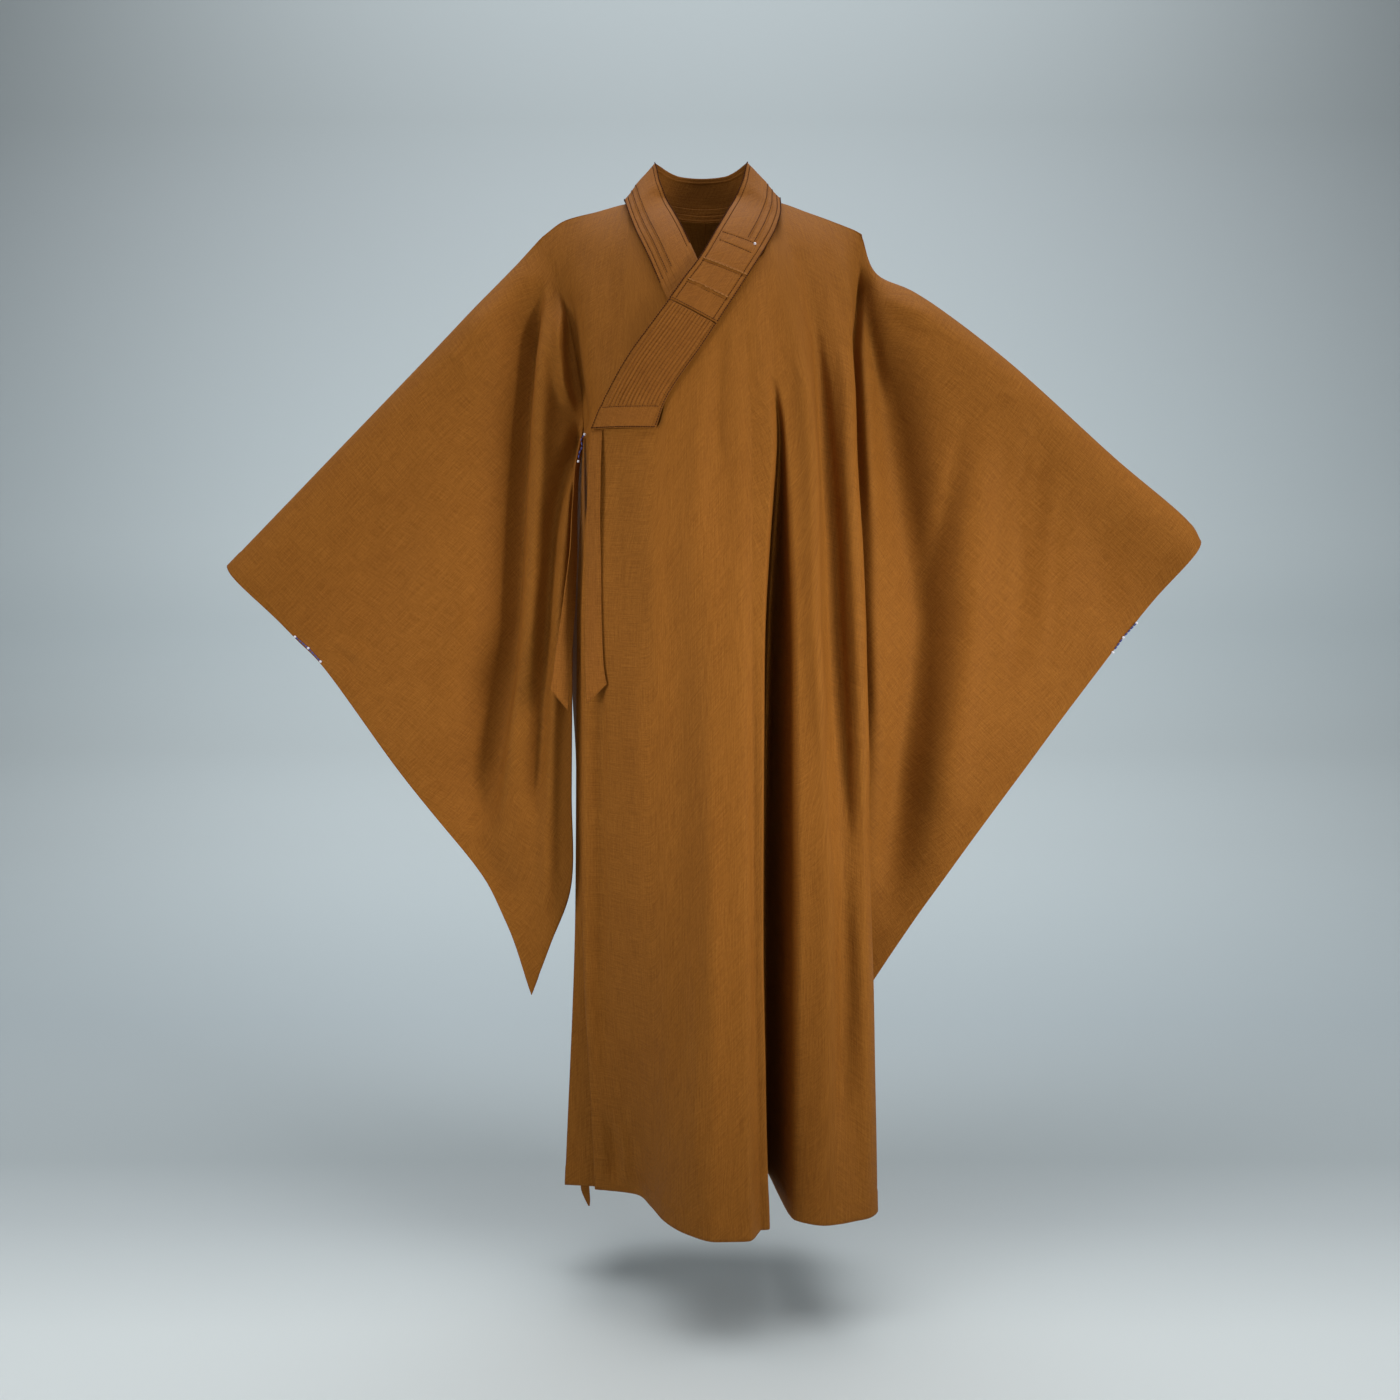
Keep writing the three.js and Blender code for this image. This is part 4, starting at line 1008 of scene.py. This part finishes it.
def stitch_on(points, normals, path, half=STITCH_HALF):
    """A line of stitches along a path in x and z, on the front of a laid piece of cloth."""
    path = np.asarray(path, float)
    seen = normals[..., 1] < 0
    places, facings = points[seen], normals[seen]
    step = np.linspace(0, len(path) - 1, 40 * (len(path) - 1))
    xs = np.interp(step, np.arange(len(path)), path[:, 0])
    zs = np.interp(step, np.arange(len(path)), path[:, 1])
    nearest = [np.argmin((places[:, 0] - x) ** 2 + (places[:, 2] - z) ** 2) for x, z in zip(xs, zs)]
    return np.stack([xs, places[nearest, 1], zs], axis=1), facings[nearest], half


def stitch_along(points, normals, rows_at, columns_at, ends, half=STITCH_HALF):
    """A line of stitches between two places given as row and column values of the cloth."""
    (row_from, column_from), (row_to, column_to) = ends
    step = np.linspace(0, 1, 240)
    row, column = mix(row_from, row_to, step), mix(column_from, column_to, step)
    laid = on_cloth(points, rows_at, columns_at, row, column)
    return laid, on_cloth(normals, rows_at, columns_at, row, column), half


band_normals = outward_normals(points, NECK_CORE)[0]
stations = band_along * BAND_STATIONS
sewn = [stitch_along(points, band_normals, stations, band_shares, *line) for line in BAND_LINES]
seam_halves = [STITCH_HALF] * 2 + [SEAM_THREAD_HALF] * 2
sewn += [stitch_on(points, band_normals, *seam) for seam in zip(CROSS_SEAMS, seam_halves)]
band_knot = stitch_on(points, band_normals, [(60.7, -80.3), (60.8, -80.4)])[0][0]
sew("band_stitches", sewn, thread_finish)

# Painted highlight: a pale cord over each cross rib, lighter than the cloth, stands for the light that
# the ribs catch.
rib_highlight_finish = colour_thread("rib_painted_highlight_cord", (0.36, 0.155, 0.04, 1), 0.65, 0.1)
rib_highlights = [stitch_on(points, band_normals, rib, CORD_HALF) for rib, high in CROSS_RIBS]
sew("band_rib_highlights", rib_highlights, rib_highlight_finish, CORD_STITCH, CORD_PITCH)


# The neckband's quilted end: thirteen rounded channels between lengthwise lines of stitching, and
# below them a plain flap.
QUILT_ROWS = [
    (-43.2, 0, -155.6, 13.3, 0, -187.8, 1, 3),
    (-66, 0, -186, -9, 0, -222, 1, 3),
    (-95, 0, -224, -29, 0, -250, 1, 3),
    (-125, 0, -274, -48, 0, -281, 1, 3),
    (-140, 0, -306, -59, 0, -313, 1, 3),
]
QUILT_FROM, QUILT_TO, QUILT_END = 0.1, 0.94, 0.8
QUILT_CHANNELS, CHANNEL_RISE = 13, 1.5
QUILT_THREAD_HALF, FLAP_THREAD_HALF = 0.3, 0.4

across_channels = np.linspace(QUILT_FROM, QUILT_TO, 8 * QUILT_CHANNELS + 1)
quilt_shares = merge(np.linspace(0, 1, 25), across_channels, digits=4)
foot_line = QUILT_END + np.linspace(-0.02, 0.02, 7)
quilt_along = merge(np.linspace(0, 1, 61), np.linspace(0, 0.02, 5), foot_line, digits=4)
points = lay_band(QUILT_ROWS, quilt_along, quilt_shares)
left, _, top, _ = lengths(points)
width = left[:, -1:]
along, share = np.meshgrid(quilt_along, quilt_shares, indexing="ij")
channel = np.clip((share - QUILT_FROM) / (QUILT_TO - QUILT_FROM), 0, 1) * QUILT_CHANNELS
stuffed = smooth(0, 0.02, along) * smooth(QUILT_END, QUILT_END - 0.02, along)
channels = np.abs(np.sin(np.pi * channel)) ** 0.6 - 0.6
lift = BAND_RISE * smooth(0, 0.01, along) + CHANNEL_RISE * channels * stuffed
lift += groove((along - QUILT_END) * top[-1:]) + groove(top - 1, 1.0, 0.6)
lift += groove((share - QUILT_FROM) * width) + groove((share - QUILT_TO) * width)
lift += rumple(points, 14, 1, 71.0) * 0.3
points += outward_normals(points, NECK_CORE)[0] * lift[..., None]
quilted = cut_cloth("quilted_end", points, NECK_CORE, band_finish, BAND_THICK)
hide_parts("collar_quilted")

quilt_normals = outward_normals(points, NECK_CORE)[0]
# The quilted end's edge lines, in the thicker dark thread, are partly painted shade along its edges.
quilt_lines = [([(0, 0.012), (1, 0.012)], EDGE_THREAD_AND_SHADE_HALF), ([(0, 0.988), (1, 0.988)], EDGE_THREAD_AND_SHADE_HALF)]
quilt_lines.append(([(0.99, 0), (0.99, 1)], EDGE_THREAD_AND_SHADE_HALF))
quilt_lines.append(([(QUILT_END, 0.04), (QUILT_END, 0.97)], FLAP_THREAD_HALF))
for share in np.linspace(QUILT_FROM, QUILT_TO, QUILT_CHANNELS + 1):
    quilt_lines.append(([(0.01, share), (QUILT_END, share)], QUILT_THREAD_HALF))
cloth = (points, quilt_normals, quilt_along, quilt_shares)
sewn = [stitch_along(*cloth, *line) for line in quilt_lines]
sew("quilt_stitches", sewn, thread_finish)


# The two cloth ties and the pointed end of the inner band: flat folded strips that hang free from
# where they are sewn.
STRIPS = {
    "outer_tie": (
        "tie_outer",
        [
            (-134, -77.3, -307.7, 8, -28, 0),
            (-137, -73, -370, 9, -28, 0),
            (-139, -67, -440, 10, -26, 0),
            (-139, -63, -520, 11, -22, 0),
            (-138, -62, -590, 12, -16, 0),
            (-135, -63, -632, 13, -12, 24),
        ],
        (0.024, 0.335),
    ),
    "side_tie": (
        "tie_side",
        [
            (-157.7, -13, -302, 5, 80, 0),
            (-164.5, -23, -360, 9, 80, 0),
            (-167, -30, -450, 10, 70, 0),
            (-173, -36, -530, 11, 50, 0),
            (-180, -42, -600, 11, 25, 0),
            (-184, -43, -640, 11, 15, -26),
        ],
        (0.022, 0.34),
    ),
    "band_point": (
        "hem_tab",
        [
            (-156.5, 0.9, -1258, 6, 0, 0),
            (-156, 0.9, -1276, 5.5, 0, 0),
            (-153, 0.9, -1290, 3.5, 0, 0),
            (-151, 0.9, -1299, 1, 0, 0),
        ],
        (0.012, 0.045),
    ),
}
STRIP_CORE = (-120, 400, -600)
STRIP_THICK, STRIP_STITCH = 1.3 * MM, 2.2
HALF_STRIP = [0.4, 0.66, 0.74, 0.82, 0.93, 1]

for name, (node, stations, flat) in STRIPS.items():
    down = np.linspace(0, 1, 60)
    x, y, z, half, turn, slant = through(np.array(stations, float), down).T[:, :, None]
    side = np.array([-share for share in reversed(HALF_STRIP)] + [0] + HALF_STRIP)[None]
    turn = np.radians(turn)
    out = half * side
    points = np.stack([x + np.cos(turn) * out, y + np.sin(turn) * out, z + slant / 2 * side], axis=2)
    edge = (1 - np.abs(side)) * half
    lift = groove(edge - STRIP_STITCH, 0.8, 0.35) + rumple(points, 30, 1.5, 81.0) * 0.8
    points += outward_normals(points, STRIP_CORE)[0] * lift[..., None]
    strip = cut_cloth(name, points, STRIP_CORE, band_finish, STRIP_THICK)
    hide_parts(node)


# Blue thread tacks with white knots, which hold the lower cuff of each sleeve and the underarm
# where the side tie is sewn on, and one white knot on the neckband.
CUFF_TACKS = [
    [(-531, -559), (-514, -573.5), (-498, -591)],
    [(559, -541), (542, -559.5), (528, -579)],
]
UNDERARM_TACK = [
    (-152.6, -34, -303.5), (-157.6, -30, -309.9), (-156.4, -28, -317.5), (-160.2, -28, -326.4),
    (-161.4, -28, -336.5),
]
TACK_STITCH, TACK_PITCH, TACK_HALF = 5.2, 5.6, 1.0
KNOT_RADIUS = 1.7

blue_thread = colour_thread("blue_thread", (0.05, 0.06, 0.22, 1), 0.55)
white_thread = colour_thread("white_thread", (0.72, 0.70, 0.74, 1), 0.6)

tacks, knots = [], [band_knot]
for sleeve, tack in zip(SLEEVES, CUFF_TACKS):
    facing = outward_normals(sleeve["laid"], sleeve["core"])[0]
    line = stitch_on(sleeve["laid"], facing, tack, TACK_HALF)
    tacks.append(line)
    knots += [line[0][0], line[0][len(line[0]) // 2], line[0][-1]]
step = np.linspace(0, 1, 40)
line = through(UNDERARM_TACK, step)
tacks.append((line, np.tile([0.0, -1.0, 0.0], (40, 1)), TACK_HALF))
knots += [line[0], line[-1]]
sew("tack_threads", tacks, blue_thread, TACK_STITCH, TACK_PITCH)

shape = bmesh.new()
for knot in knots:
    place = Matrix.Translation(Vector(knot) * MM + Vector((0, -TACK_HALF * MM, 0)))
    bmesh.ops.create_icosphere(shape, subdivisions=2, radius=KNOT_RADIUS * MM, matrix=place)
mesh = bpy.data.meshes.new("tack_knots")
shape.to_mesh(mesh)
shape.free()
tack_knots = add_piece("tack_knots", mesh, white_thread)
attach(tack_knots, "root")
